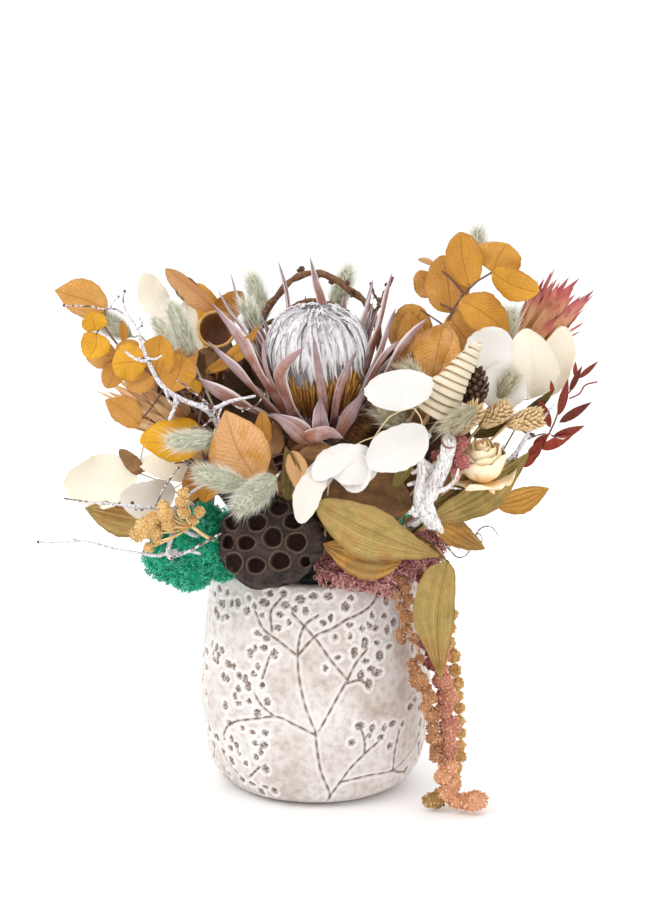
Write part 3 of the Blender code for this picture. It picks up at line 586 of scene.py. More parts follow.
def grow(ground, **values):
    """The ground object with what grows on it, as one plain mesh."""
    modifier = ground.modifiers.new("growth", "NODES")
    modifier.node_group = growth
    for item in growth.interface.items_tree:
        if item.in_out == "INPUT" and item.name in values:
            modifier[item.identifier] = values[item.name]
    evaluated = ground.evaluated_get(bpy.context.evaluated_depsgraph_get())
    ground_mesh = bpy.data.meshes.new_from_object(evaluated)
    ground.modifiers.clear()
    ground.data = ground_mesh
    return ground


def lump(middle, half_wide, half_high, seed, rows=14, sides=22, rough=0.12, **marks):
    """A lumpy closed ball, the ground that moss or florets grow on."""
    polar = np.linspace(0.08, np.pi - 0.08, rows)[:, None]
    angle = np.linspace(0, 2 * np.pi, sides, endpoint=False)[None, :]
    bumps = np.sin(3 * angle + seed) * np.sin(2 * polar + seed)
    bumps = 1 + rough * (bumps + 0.7 * np.sin(5 * angle - 2 * seed + 3 * polar))
    out = bumps * half_wide * np.sin(polar)
    high = -bumps * half_high * np.cos(polar) * np.ones_like(angle)
    ball = np.stack([out * np.cos(angle), out * np.sin(angle), high], axis=-1).reshape(-1, 3)
    points = np.vstack([ball, [(0, 0, -half_high), (0, 0, half_high)]]) + middle
    return shape(points, skin(rows, sides), **marks)


def moss_sprig(name, reach, thick, forks, seed):
    """One forked branchlet of moss, built of spikes that start on each other."""
    random = np.random.default_rng(seed)
    spikes = []
    for number in range(forks):
        way = unit(random.normal(0, 1, 3) + (0, 0, 0.9))
        start = np.array([0, 0, (random.uniform(-0.1, 0.45) if number else -0.3) * reach])
        middle = start + way * reach * random.uniform(0.4, 0.6)
        swerve = unit(way + random.normal(0, 0.7, 3))
        spikes.append(spike(start, middle + swerve * 0.1 * reach, thick))
        spikes.append(spike(middle - way * 0.1 * reach, middle + swerve * reach * 0.5, thick * 0.9))
    return build(name, spikes)


def moss_cushion(name, lobes, sprig, density, seed, material, slot, cad_node):
    """A cushion of moss: lumpy lobes under a pile of branchlets."""
    ground = build(name, [lump(m, w, h, seed + n) for n, (m, w, h) in enumerate(lobes)])
    settings = {"Sprig": sprig, "Density": density, "Seed": seed, "Finish": material}
    grow(ground, Smallest=0.75, Largest=1.25, Spread=0.7, Lean=(0.0, 0.0, -0.1), **settings)
    place(ground, slot, cad_node)


def moss_finish(name, deep, middle, pale, places=(0.2, 0.5, 0.85), grain=0.35):
    """Dyed lichen, bristle or floret: matt, its colour deepened at the foot by painted shade and paled at
    the tip by painted light.
    """
    made, tree, shader = finish(name, 0.9)
    where = node(tree, "ShaderNodeTexCoord", out="Object")
    patches = node(tree, "ShaderNodeTexNoise", {"Vector": where, "Scale": 95, "Detail": 3})
    tone, along = read_marks(tree, "tone", "along")
    shade = node(tree, "ShaderNodeMath", {0: tone, 1: grain, 2: 0}, operation="MULTIPLY_ADD")
    # The along mark paints shade at the foot of each branchlet and light at its tip.
    for value, share in ((along, 0.35), (patches, 0.5)):
        shade = node(tree, "ShaderNodeMath", {0: value, 1: share, 2: shade}, operation="MULTIPLY_ADD")
    colour = node(tree, "ShaderNodeValToRGB", {"Fac": shade}, tuple(zip(places, (deep, middle, pale))))
    tree.links.new(colour, shader.inputs["Base Color"])
    return made


green_lichen = moss_finish("lichen_dyed_green", "#048a66", "#13c598", "#88ecd2")
pink_lichen = moss_finish("lichen_dyed_pink", "#713a3e", "#d48c88", "#fbd2ca")
fine_sprig = moss_sprig("fine_branchlet", 4.4, 0.42, 4, 3)
open_sprig = moss_sprig("open_branchlet", 7.5, 0.55, 5, 9)
# Branchlets grow so many to a square metre of the lobes.
green, pink = (green_lichen, "green_moss"), (pink_lichen, "pink_moss")
moss_cushion("moss_green_cushion", GREEN_LOBES, fine_sprig, 2.1e5, 11, *green, "moss_green")
moss_cushion("moss_pink_cushion", PINK_LOBES, open_sprig, 1.25e5, 12, *pink, "moss_pink")
moss_cushion("moss_back_cushion", BACK_LOBES, fine_sprig, 0.55e5, 13, *green, "moss_back")
bpy.data.objects.remove(fine_sprig)
bpy.data.objects.remove(open_sprig)

# Eucalyptus
# Sprigs of round-leaved eucalyptus, soaked in glycerine and dye so that they stay supple: broad satin
# leaves from yellow through amber to brown on thin purplish stems, pushed into the foam one by one.

LEVEL_FACING = (0.0, -1.0, 0.12)
# Ways in which single leaves differ from their sprig.
POINTED = {"blunt": (0.5, 0.95)}
WIDE_TIP = {
    "widest": 0.6, "blunt": (0.9, 0.62), "twist": -0.1, "cup": 0.4, "skew": -2.5, "bow": 1,
    "ripple": 1.6, "waves": 4,
}
KITE = {"blunt": (0.95, 0.85), "widest": 0.5, "fold": 0.25, "cup": 0.4, "twist": 0.1, "skew": -3}
CURLED = {"ripple": 0.5, "fold": 0.3, "twist": 0.35, "cup": 0.6}
ROLLED = {"ripple": 0.5, "fold": -0.2, "twist": -0.6, "cup": 1.2}
TRAILING = {"bow": 2, "skew": 4, "widest": 0.34, "blunt": (0.6, 1), "twist": 0.5, "fold": 0.5}
PLAIN = {"rows": 11, "columns": 7}
# Each sprig: where it enters the foam, its stem, and its leaves: foot, tip, width in mm, and tone from
# yellow through amber and peach to brown. Then its small leaves deep between the stems, brown and
# darkened as painted shade: how many, and the box they stand in.
EUCALYPTUS = {
    "eucalyptus_far_left": (
        (-34, -7), ((-70, -48, 244), (-94, -56, 266), (-112, -54, 280), (-124, -50, 296)),
        (
            ((-121, -45, 303), (-152, -40, 313), 24, 0.5, POINTED),
            ((-128, -52, 291), (-130, -58, 303), 15, 0.08), ((-127, -52, 290), (-131, -60, 276), 18, 0.12),
            ((-116, -50, 276), (-135, -46, 279), 17, 0.5), ((-117, -52, 273), (-121, -56, 258), 14, 0.42),
            ((-111, -54, 285), (-112, -56, 298), 5, 0.42), ((-115, -54, 277), (-102, -58, 285), 12, 0.36),
            ((-98, -60, 273), (-117, -66, 274), 23, 0.15), ((-94, -56, 266), (-109, -60, 259), 18, 0.47),
            ((-93, -54, 264), (-89, -60, 290), 22, 0.3), ((-77, -54, 277), (-85, -62, 257), 22, 0.36),
            ((-102, -60, 237), (-122, -60, 252), 17, 0.47, POINTED),
            ((-68, -58, 255), (-76, -62, 269), 10, 0.1), ((-84, -50, 262), (-70, -40, 280), 16, 0.5),
        ),
        (12, (-100, -46, 224), (-64, 0, 282)),
    ),
    "eucalyptus_low_left": (
        (-40, -8), ((-62, -56, 208), (-68, -66, 236)),
        (
            ((-67, -66, 236), (-101, -74, 230), 27, 0.02), ((-60, -62, 213), (-64, -82, 196), 22, 0.3),
            ((-64, -50, 266), (-32, -58, 296), 9, 0.4, POINTED),
            ((-102, -60, 208), (-114, -62, 223), 10, 0.88), ((-62, -58, 216), (-78, -76, 194), 16, 0.5),
            ((-60, -50, 222), (-84, -50, 222), 18, 0.55),
        ),
        (26, (-84, -50, 178), (-34, 0, 252)),
    ),
    "eucalyptus_front": (
        (-7, -33), ((-20, -72, 206), (-28, -78, 228)),
        (
            ((-31, -84, 207), (-51, -92, 252), 36, 0.6, KITE), ((-28, -80, 228), (-30, -82, 250), 10, 0.42),
            ((-13, -84, 227), (-6, -89, 203), 13, 0.7), ((10, -80, 227), (-10, -84, 224), 11, 0.85),
        ),
        (20, (-50, -66, 186), (-6, -20, 236)),
    ),
    "eucalyptus_middle": (
        (9, -36), ((8, -72, 196), (8, -74, 206)),
        (
            ((4, -73, 203), (56, -78, 193), 34, 0.9), ((8, -74, 205), (-12, -74, 214), 18, 0.8),
            ((10, -70, 196), (36, -62, 214), 20, 0.6),
        ),
        (24, (-8, -62, 170), (46, -14, 226)),
    ),
    "eucalyptus_top": (
        (-14, 4), ((-50, 6, 270), (-66, -2, 299)),
        (
            ((-59, -8, 296), (-89, -12, 322), 15, 0.6), ((-67, 2, 299), (-86, 2, 315), 14, 0.92),
            ((-60, 6, 286), (-44, 14, 304), 17, 0.4),
        ),
        (16, (-70, -20, 226), (-26, 30, 282)),
    ),
    "eucalyptus_right": (
        (18, 2), ((60, -22, 262), (75, -30, 288), (80, -28, 298), (91, -26, 313), (105, -24, 322)),
        (
            ((91, -26, 313), (85, -22, 345), 23, 0.33), ((80, -22, 297), (75, -13, 330), 27, 0.44),
            ((66, -16, 305), (62, -12, 321), 15, 0.52), ((71, -10, 324), (61, -8, 327), 4, 0.7),
            ((105, -22, 321), (114, -13, 337), 30, 0.33), ((104, -26, 322), (131, -34, 311), 19, 0.24),
            ((85, -32, 306), (113, -40, 288), 25, 0.34), ((75, -37, 291), (67, -47, 261), 30, 0.53),
            ((78, -28, 296), (95, -27, 277), 26, 0.48), ((63, -26, 301), (46, -29, 278), 27, 0.5),
        ),
        (20, (44, -34, 226), (88, 12, 284)),
    ),
    "eucalyptus_mid_right": (
        (14, -8), ((50, -32, 250), (60, -40, 260)),
        (((60, -38, 260), (78, -34, 292), 30, 0.55), ((52, -34, 252), (56, -26, 298), 22, 0.5)),
        (22, (28, -48, 196), (86, 10, 262)),
    ),
    "eucalyptus_back": (
        (-18, 26), ((-48, 60, 220), (-62, 76, 246), (-70, 84, 270)),
        (
            ((-70, 84, 269), (-76, 92, 298), 24, 0.3), ((-62, 76, 247), (-90, 80, 262), 26, 0.5),
            ((-60, 74, 243), (-40, 98, 256), 26, 0.2), ((-50, 62, 224), (-76, 84, 222), 24, 0.75),
            ((-40, 50, 206), (-18, 78, 214), 24, 0.45), ((-52, 66, 232), (-36, 76, 250), 20, 0.1),
        ),
        (34, (-60, 20, 170), (0, 74, 246)),
    ),
}
# Size and tones of the small leaves deep inside: brown, and darkened as painted shade.
INNER_SIZE = (20, 30)
INNER_TONES = (0.75, 1.15)
STEM_RADIUS = 1.1


def stem_points(entry, route, count=22):
    """A stem's path from inside the foam, up through its hole and along its own route."""
    foot = (0.8 * entry[0], 0.8 * entry[1], 118)
    return smooth([foot, (entry[0], entry[1], 150), *route], count)


def sheet_solid(grid, normals, thick, **marks):
    """A thin closed leaf from its middle surface: both faces meet in a sharp edge."""
    inside = np.zeros(grid.shape[:2], bool)
    inside[1:-1, 1:-1] = True
    lift = np.where(inside, thick / 2, 0)[..., None] * normals
    upper = np.arange(inside.size).reshape(inside.shape)
    lower = upper.copy()
    lower[inside] = inside.size + np.arange(inside.sum())
    for name, values in marks.items():
        values = np.broadcast_to(values, inside.shape)
        marks[name] = np.append(values.ravel(), values[inside])
    points = np.vstack([(grid + lift).reshape(-1, 3), (grid - lift)[inside]])
    return shape(points, [quads(upper), quads(lower)[:, ::-1]], **marks)


def blade(
    route, width, facing=LEVEL_FACING, widest=0.5, blunt=(0.55, 0.55), cup=0.25, bow=0, ripple=0, waves=3,
    fold=0, skew=0, pleats=(0, 0), edge=0, twist=0, thick=0.4, rows=15, columns=9, shift=0, tone=0,
):
    """A leaf, petal or bract along a route: twisted, rolled, folded and rippled, with an uneven edge."""
    middle = smooth(route, rows)
    t = np.linspace(0, 1, rows)
    tangents = unit(np.gradient(middle, axis=0))
    across = unit(np.cross(tangents, np.asarray(facing, float)))
    normals = np.cross(across, tangents)
    swing = (twist * (t - 0.35))[:, None]
    cosine, sine = np.cos(swing), np.sin(swing)
    across, normals = across * cosine + normals * sine, normals * cosine - across * sine
    arch = np.sin(np.pi * t)[:, None]
    middle = middle + (normals * bow + across * skew) * arch
    s = np.clip(t, 0, 1) ** (math.log(0.5) / math.log(widest))
    half = np.sin(np.pi * np.clip(s, 0.004, 0.996)) ** np.where(s < 0.5, *blunt)
    half = np.maximum(half, 0.02) * width / 2
    half *= 1 + edge * np.sin(13 * t + shift) * np.sin(27 * t)
    v = np.linspace(-1, 1, columns)
    out, lift = v, v * 0
    if abs(cup) > 0.01:
        out, lift = np.sin(cup * v) / cup, (1 - np.cos(cup * v)) / cup
    lift = half[:, None] * (lift + fold * np.abs(v))[None, :]
    waving = np.sin(np.pi * waves * t[:, None] + shift + 1.7 * np.sign(v)[None, :])
    lift += ripple * (np.abs(v) ** 2)[None, :] * waving * arch
    lift += pleats[1] * np.sin(pleats[0] * np.pi * v)[None, :] * arch**0.5
    grid = middle[:, None] + across[:, None] * (half[:, None] * out[None, :])[..., None]
    grid = grid + normals[:, None] * lift[..., None]
    upward = np.cross(np.gradient(grid, axis=1), np.gradient(grid, axis=0)) + 1e-9 * normals[:, None]
    return sheet_solid(grid, unit(upward), thick, along=t[:, None], across=v[None, :], tone=tone)


def spray(entry, stem, leaves, random, radius=STEM_RADIUS, leaf_shape=None, bowing=0.08, turning=0.22):
    """A stem with its leaves, each on a short stalk from the nearest point of the stem."""
    path = stem_points(entry, stem)
    parts = [rod(path, np.linspace(radius, radius * 0.55, len(path)), 7, stem=1.0)]
    for foot, tip, width, tone, *own in leaves:
        foot, tip = np.asarray(foot, float), np.asarray(tip, float)
        near = path[np.argmin(np.linalg.norm(path - foot, axis=1))]
        inside = foot + (tip - foot) * 0.06
        stalk = smooth([near, (near + foot) / 2 + random.normal(0, 0.6, 3), inside], 6)
        parts.append(rod(stalk, np.linspace(radius * 0.6, radius * 0.4, 6), 5, stem=1.0))
        facing = np.array(LEVEL_FACING) + random.normal(0, turning, 3)
        length = np.linalg.norm(tip - foot)
        settings = dict(
            widest=random.uniform(0.42, 0.52), blunt=(0.46, 0.55), cup=random.uniform(-0.6, 0.7),
            bow=random.uniform(-1, 1) * bowing * length, ripple=0.06 * width * random.uniform(0.6, 1.6),
            waves=random.uniform(2, 4), shift=random.uniform(0, 6), skew=random.uniform(-0.1, 0.1) * length,
            edge=0.05, twist=random.uniform(-0.7, 0.7), fold=random.uniform(-0.1, 0.35), rows=19,
        )
        for special in (leaf_shape or {}, *own):
            settings.update(special)
        parts.append(blade([foot, tip], width, facing=facing, tone=tone, **settings))
    return parts


def leaf_finish(
    name, tones, stem_colour, vein_colour, veins, rough, slant=5, ribs=15, mottle=70, net=420, lengthwise=0,
    clouds=0.34, side_veins=0.45, relief=0.7, netted=0.6,
):
    """A dried leaf: its tone picks the colour, with a midrib, side veins and a fine net of veins."""
    made, tree, shader = finish(name, rough)
    where = node(tree, "ShaderNodeTexCoord", out="Object")
    along, across, own_tone, stem = read_marks(tree, "along", "across", "tone", "stem")
    mottled = {"Vector": where, "Scale": mottle, "Detail": 6, "Roughness": 0.65}
    patches = node(tree, "ShaderNodeTexNoise", mottled)
    patchy = node(tree, "ShaderNodeMath", {0: patches, 1: clouds, 2: -clouds / 2}, operation="MULTIPLY_ADD")
    tone = node(tree, "ShaderNodeMath", {0: own_tone, 1: patchy}, operation="ADD")
    ground = node(tree, "ShaderNodeValToRGB", {"Fac": tone}, tones)
    side = node(tree, "ShaderNodeMath", {0: across}, operation="ABSOLUTE")
    rising = node(tree, "ShaderNodeMath", {0: along, 1: ribs}, operation="MULTIPLY")
    rows = {0: across, 1: lengthwise, 2: patches} if lengthwise else {0: side, 1: -slant, 2: rising}
    slanted = node(tree, "ShaderNodeMath", rows, operation="MULTIPLY_ADD")
    around = node(tree, "ShaderNodeMath", {0: slanted, 1: 6.2832}, operation="MULTIPLY")
    wave = node(tree, "ShaderNodeMath", {0: around}, operation="SINE")
    cells = node(tree, "ShaderNodeTexVoronoi", {"Vector": where, "Scale": net}, feature="DISTANCE_TO_EDGE")
    # Midrib, side veins, net and rim: what each is read from, from where to where, and its strength there.
    lines = (
        (side, 0.01, 0.05, 0.8, 0),
        (wave, 0.82, 1, 0, side_veins),
        (cells, 0, 0.09, netted, 0),
        (side, 0.8, 1, 0, 0.9),
    )
    drawn = []
    for value, start, end, low, high in lines:
        bounds = {"From Min": start, "From Max": end, "To Min": low, "To Max": high}
        drawn.append(node(tree, "ShaderNodeMapRange", {"Value": value} | bounds))
        if len(drawn) > 1:
            drawn[-1] = node(tree, "ShaderNodeMath", {0: drawn[-2], 1: drawn[-1]}, operation="MAXIMUM")
    amount = node(tree, "ShaderNodeMath", {0: drawn[-1], 1: veins}, operation="MULTIPLY")
    height = node(tree, "ShaderNodeMath", {0: drawn[-2], 1: patches}, operation="ADD")
    cover(tree, shader, ground, ((amount, vein_colour), (stem, stem_colour)), height, relief, 0.001)
    return made


# Glycerined eucalyptus: satin, almost leathery, with a net of fine veins about 2.5 mm across.
AMBER_TONES = (
    (0, "#ecb018"), (0.16, "#dfa022"), (0.4, "#c2862e"), (0.52, "#cf9544"), (0.6, "#e2ac74"),
    (0.7, "#e2ae76"), (0.86, "#946a3a"), (1, "#553a22"),
)
amber_leaf = leaf_finish(
    "eucalyptus_dyed_amber", AMBER_TONES, "#6a4a40", "#7d4310", 0.38, 0.56, clouds=0.45, netted=0.3,
)


def inner_leaves(count, low, high, random):
    """Leaves at random places in a box, each standing outwards from the middle of the bouquet."""
    low, high = np.asarray(low, float), np.asarray(high, float)
    leaves = []
    for number in range(count):
        tip = random.uniform(low, high)
        size = random.uniform(*INNER_SIZE)
        inwards = unit(np.array([0, 0, 150.0]) - tip + random.normal(0, 45, 3))
        foot = tip + inwards * size
        leaves.append((foot, tip, size * random.uniform(0.75, 1), random.uniform(*INNER_TONES), PLAIN))
    return leaves


leaf_random = np.random.default_rng(21)
for name, (entry, stem, leaves, inner_box) in EUCALYPTUS.items():
    parts = spray(entry, stem, [*leaves, *inner_leaves(*inner_box, leaf_random)], leaf_random)
    place(build(name + "_dyed", parts, amber_leaf), "amber_leaf", name)

# Bleached leaves
# Round leaves bleached to paper white and ivory, on cream stems: dull, a little rippled, and as thin as
# paper.

WHITE_LEAVES = {
    "white_leaves_front": (
        (17, -33), ((30, -76, 222), (40, -84, 244), (48, -88, 251), (56, -88, 253)),
        (
            ((49, -88, 251), (46, -80, 273), 40, 0), ((63, -88, 241), (30, -98, 221), 28, 0.05),
            ((36, -92, 219), (8, -98, 221), 24, 0.12), ((22, -94, 232), (-1, -98, 214), 17, 0.2),
            ((6, -94, 220), (-9, -102, 189), 16, 0.5),
        ),
    ),
    "white_leaves_middle": (
        (5, -41), ((8, -82, 208), (14, -88, 226)),
        (((14, -90, 229), (26, -96, 206), 22, 0.3), ((12, -88, 224), (-6, -96, 206), 16, 0.4)),
    ),
    "white_leaves_right": (
        (23, -5), ((82, -36, 248), (90, -46, 262)),
        (((92, -50, 263), (110, -48, 291), 29, 0.3), ((116, -46, 270), (101, -54, 247), 28, 0.25)),
    ),
    "white_leaves_far_right": (
        (38, -4), ((112, -26, 238), (126, -28, 246)),
        (
            ((127, -32, 248), (124, -36, 290), 30, 0.95, CURLED),
            ((140, -26, 248), (147, -22, 289), 27, 0.9, ROLLED),
        ),
    ),
    "white_leaves_left": (
        (-46, -14), ((-84, -50, 196), (-104, -57, 208)),
        (
            ((-104, -58, 209), (-147, -60, 200), 34, 0.9), ((-82, -60, 198), (-114, -68, 195), 25, 0.55),
            ((-72, -58, 206), (-103, -60, 215), 15, 0.95), ((-70, -4, 262), (-77, 0, 303), 13, 0.95),
            ((-88, 2, 290), (-104, 6, 316), 18, 0.95),
        ),
    ),
    "white_leaves_back": (
        (24, 28), ((60, 62, 210), (78, 76, 226)),
        (
            ((77, 75, 225), (104, 84, 244), 28, 0.1), ((64, 65, 214), (84, 90, 200), 26, 0.4),
            ((56, 58, 206), (44, 88, 226), 26, 0), ((70, 70, 222), (60, 84, 246), 24, 0.7),
        ),
    ),
}
# Bleached and pressed leaf: matt as paper, ivory along the veins.
paper_leaf = leaf_finish(
    "leaf_bleached_white",
    ((0, "#dedad6"), (0.3, "#dfdad4"), (0.5, "#dcd5cc"), (0.75, "#e6dac2"), (0.95, "#f0e8d6")),
    "#e3cfa6", "#cdbf9f", 0.16, 0.6, slant=3, ribs=7, mottle=45, net=300, clouds=0.2, relief=0.12,
)
ROUND = {"blunt": (0.5, 0.45), "widest": 0.5, "rows": 21, "columns": 11}
for name, (entry, stem, leaves) in WHITE_LEAVES.items():
    parts = spray(entry, stem, leaves, leaf_random, radius=0.8, leaf_shape=ROUND, bowing=0.12, turning=0.12)
    place(build(name + "_papery", parts, paper_leaf), "bleached_leaf", name)

# Olive leaves
# Long pointed leaves dried to olive gold: stiff, pleated along their parallel veins, and orange brown
# at the midrib and edges.

OLIVE_LEAVES = {
    "olive_leaf_front": (
        (20, -42), ((40, -58, 160), (60, -76, 164), (74, -82, 163)),
        (
            ((75, -80, 163), (0, -96, 200), 31, 0.5, WIDE_TIP), ((50, -78, 160), (4, -84, 172), 27, 0.74),
            ((-15, -76, 196), (-17, -84, 230), 14, 0.12), ((45, -84, 206), (59, -86, 226), 9, 0.2),
        ),
    ),
    "olive_leaf_trailing": (
        (36, -32), ((52, -48, 167), (66, -64, 168), (76, -76, 160)),
        (((77, -77, 160), (74, -79, 88), 26, 0.46, TRAILING),),
    ),
    "olive_leaf_right": (
        (47, -16), ((76, -50, 184), (98, -54, 200)),
        (
            ((112, -52, 205), (64, -66, 186), 22, 0.3), ((69, -68, 183), (125, -60, 221), 21, 0.45),
            ((107, -48, 186), (138, -50, 197), 16, 0.95), ((122, -42, 240), (141, -40, 255), 6, 0),
            ((92, -48, 228), (116, -50, 239), 8, 0), ((71, -60, 180), (100, -58, 162), 18, 0.8),
        ),
    ),
    "olive_leaf_left": (
        (-44, -24), ((-84, -56, 180), (-98, -60, 180)),
        (((-97, -62, 179), (-135, -62, 188), 22, 0.5), ((-84, -56, 180), (-104, -66, 174), 12, 0.8)),
    ),
}
# Air-dried leaf: rather dull, with parallel veins about 1 mm apart along the leaf and a brown midrib.
olive_finish = leaf_finish(
    "leaf_dried_olive",
    ((0, "#77683a"), (0.25, "#9a8a4a"), (0.5, "#c8ac68"), (0.75, "#bd8f50"), (0.95, "#edb458")),
    "#6f5a2a", "#7f4a1c", 0.6, 0.95, slant=0, ribs=0, mottle=42, net=900, lengthwise=9, clouds=1.4,
    side_veins=0.75,
)
PLEATED = {
    "blunt": (0.72, 0.9), "widest": 0.42, "rows": 23, "columns": 25, "fold": 0.3, "pleats": (5, 0.8),
}
for name, (entry, stem, leaves) in OLIVE_LEAVES.items():
    parts = spray(entry, stem, leaves, leaf_random, radius=1, leaf_shape=PLEATED, bowing=0.1, turning=0.2)
    place(build(name + "_dried", parts, olive_finish), "olive_leaf", name)

# Red ruscus
# A wiry stem with narrow pointed leaves, dyed dark rust red.

RUSCUS_STEM = (
    (106, -44, 200), (114, -52, 210), (129, -52, 219), (135, -50, 226), (139, -48, 233), (142, -46, 240),
    (145, -46, 251), (150, -46, 255), (153, -46, 264),
)
# Foot, tip and width of each leaf. Each is drawn longer by one share, and with a share of its width.
RUSCUS_LEAVES = (
    ((154, -46, 262), (164, -46, 271), 5), ((152, -46, 263), (152, -46, 271), 4),
    ((149, -46, 254), (155, -48, 268), 6), ((143, -46, 240), (147, -50, 260), 8),
    ((143, -48, 236), (160, -44, 246), 8), ((139, -50, 228), (156, -46, 233), 9),
    ((132, -52, 221), (149, -50, 228), 10), ((138, -48, 233), (132, -46, 248), 8),
    ((128, -52, 221), (135, -56, 230), 9), ((122, -52, 210), (130, -54, 219), 7),
    ((125, -52, 214), (132, -56, 226), 10), ((130, -50, 228), (117, -48, 234), 4),
    ((126, -50, 231), (120, -50, 237), 6), ((139, -46, 253), (138, -46, 260), 4),
    ((112, -50, 208), (118, -56, 218), 6),
)
RUSCUS_LONGER = 0.15
RUSCUS_NARROWER = 0.72
# Dyed ruscus: a silky dull red, lighter where the dye is thin.
rust_leaf = leaf_finish(
    "ruscus_dyed_rust", ((0, "#86280c"), (0.5, "#a03512"), (1, "#661c08")), "#7a4a40", "#4c140a", 0.42, 0.5,
    slant=2, ribs=6, mottle=160, net=500,
)
ruscus = [
    rod(stem_points((43, -2), RUSCUS_STEM, 40), np.linspace(1.1, 0.45, 40), 6, stem=1.0),
    rod(smooth([(149, -46, 250), (155, -46, 253), (158, -46, 258), (165, -46, 260)], 10), 0.5, 5, tone=0.3),
]
for foot, tip, width in RUSCUS_LEAVES:
    tip = np.add(tip, np.subtract(tip, foot) * RUSCUS_LONGER)
    facing = np.array(LEVEL_FACING) + leaf_random.normal(0, 0.3, 3)
    bow, tone = leaf_random.uniform(-1, 1), leaf_random.uniform(0, 1)
    look = dict(widest=0.42, blunt=(0.8, 1), cup=0.5, thick=0.3, rows=9, columns=5, bow=bow, tone=tone)
    ruscus.append(blade([foot, tip], width * RUSCUS_NARROWER, facing, **look))
place(build("red_ruscus_dyed", ruscus, rust_leaf), "crimson_leaf", "red_ruscus")

# King protea
# A dried king protea on a thick woody stem: a dome of silky white strands over amber flower tubes, set in
# a cup of stiff mauve bracts that have dried brown towards the foot.

KING_ROOT = (4, -38, 226)
KING_TIP = (2, -50, 304)
KING_FOOT_RADIUS = 9
# Height along the axis and radius in mm, from the top of the silk down to its ragged edge.
KING_DOME = ((79, 1), (78.7, 6), (76.6, 13.6), (72, 20.6), (64.5, 25.3), (55, 27.4), (46, 26.8), (38, 25))
SILK_SHIFT = (-1.8, 0, 0)
# Each bract from its tip to where it comes free of the cup, then its width.
KING_BRACTS = (
    (((-22, -22, 328), (-18, -26, 311), (-16, -32, 295)), 6.75),
    (((-3, -28, 331), (1, -30, 316), (5, -34, 301)), 8.775),
    (((34, -28, 318), (31, -34, 301), (26, -42, 282)), 10.8),
    (((45, -30, 322), (40, -38, 299), (31, -50, 268)), 10.8),
    (((47, -42, 303), (42, -46, 286), (35, -54, 266)), 10.8),
    (((66, -40, 297), (55, -46, 284), (42, -52, 266)), 13.2),
    (((-58, -20, 311), (-51, -26, 298), (-41, -32, 285)), 6.75),
    (((-44, -18, 306), (-41, -24, 295), (-34, -32, 285)), 8.1),
    (((-60, -44, 306), (-46, -54, 287), (-34, -62, 268), (-18, -56, 242)), 11.4),
    (((-63, -48, 285), (-52, -56, 274), (-34, -60, 256)), 9.6),
    (((-69, -60, 265), (-53, -66, 255), (-30, -60, 242)), 13.2),
    (((-6, -88, 288), (-19, -84, 273), (-16, -76, 257), (-10, -66, 240)), 9.6),
    (((-1, -86, 294), (2, -84, 275), (5, -76, 253)), 7.425),
    (((3, -84, 258), (2, -82, 246), (2, -74, 232)), 12),
    (((30, -70, 261), (21, -74, 247), (12, -68, 230)), 12),
    (((-26, -80, 248), (-15, -86, 241), (-2, -76, 227)), 16.8),
    (((16, -92, 236), (7, -90, 238), (-3, -84, 232)), 14.4),
    (((-30, -70, 290), (-30, -70, 278), (-27, -68, 267)), 6.075),
    (((49, -60, 287), (42, -62, 280), (34, -60, 267)), 9.45),
    (((24, -80, 285), (17, -82, 272), (12, -78, 256)), 6.075),
    (((-50, -26, 322), (-44, -30, 300), (-32, -38, 280)), 6.75),
)


def turned(root, tip):
    """A function that gives the point so far along an axis, so far out and at an angle round it."""
    start = np.asarray(root, float)
    axis = unit(np.subtract(tip, root))
    right = unit(np.cross((0, 1, 0) if abs(axis[1]) < 0.8 else (0, 0, 1), axis))
    back = np.cross(axis, right)

    def at(along, out, angle):
        given = np.broadcast_arrays(along, out, angle)
        along, out, angle = (np.asarray(values, float)[..., None] for values in given)
        return start + along * axis + out * (np.cos(angle) * right + np.sin(angle) * back)

    return at


def outwards(at, angle, rise=0):
    """The way out from the axis at an angle, and so much along it."""
    return at(rise, 1, angle) - at(0, 0, angle)


def turned_shape(at, outline, sides, ribs=0, depth=0, **marks):
    """A closed solid turned on an axis, with ribs along it if asked."""
    outline = np.asarray(outline, float)
    angle = np.linspace(0, 2 * np.pi, sides, endpoint=False)[None, :]
    wavy = outline[:, 1:2] * (1 + depth * np.cos(ribs * angle))
    rows = at(outline[:, :1], wavy, angle).reshape(-1, 3)
    poles = at(outline[[0, -1], 0], 0, 0)
    along = np.append(np.repeat(np.linspace(0, 1, len(outline)), sides), (0, 1))
    return shape(np.vstack([rows, poles]), skin(len(outline), sides), along=along, **marks)


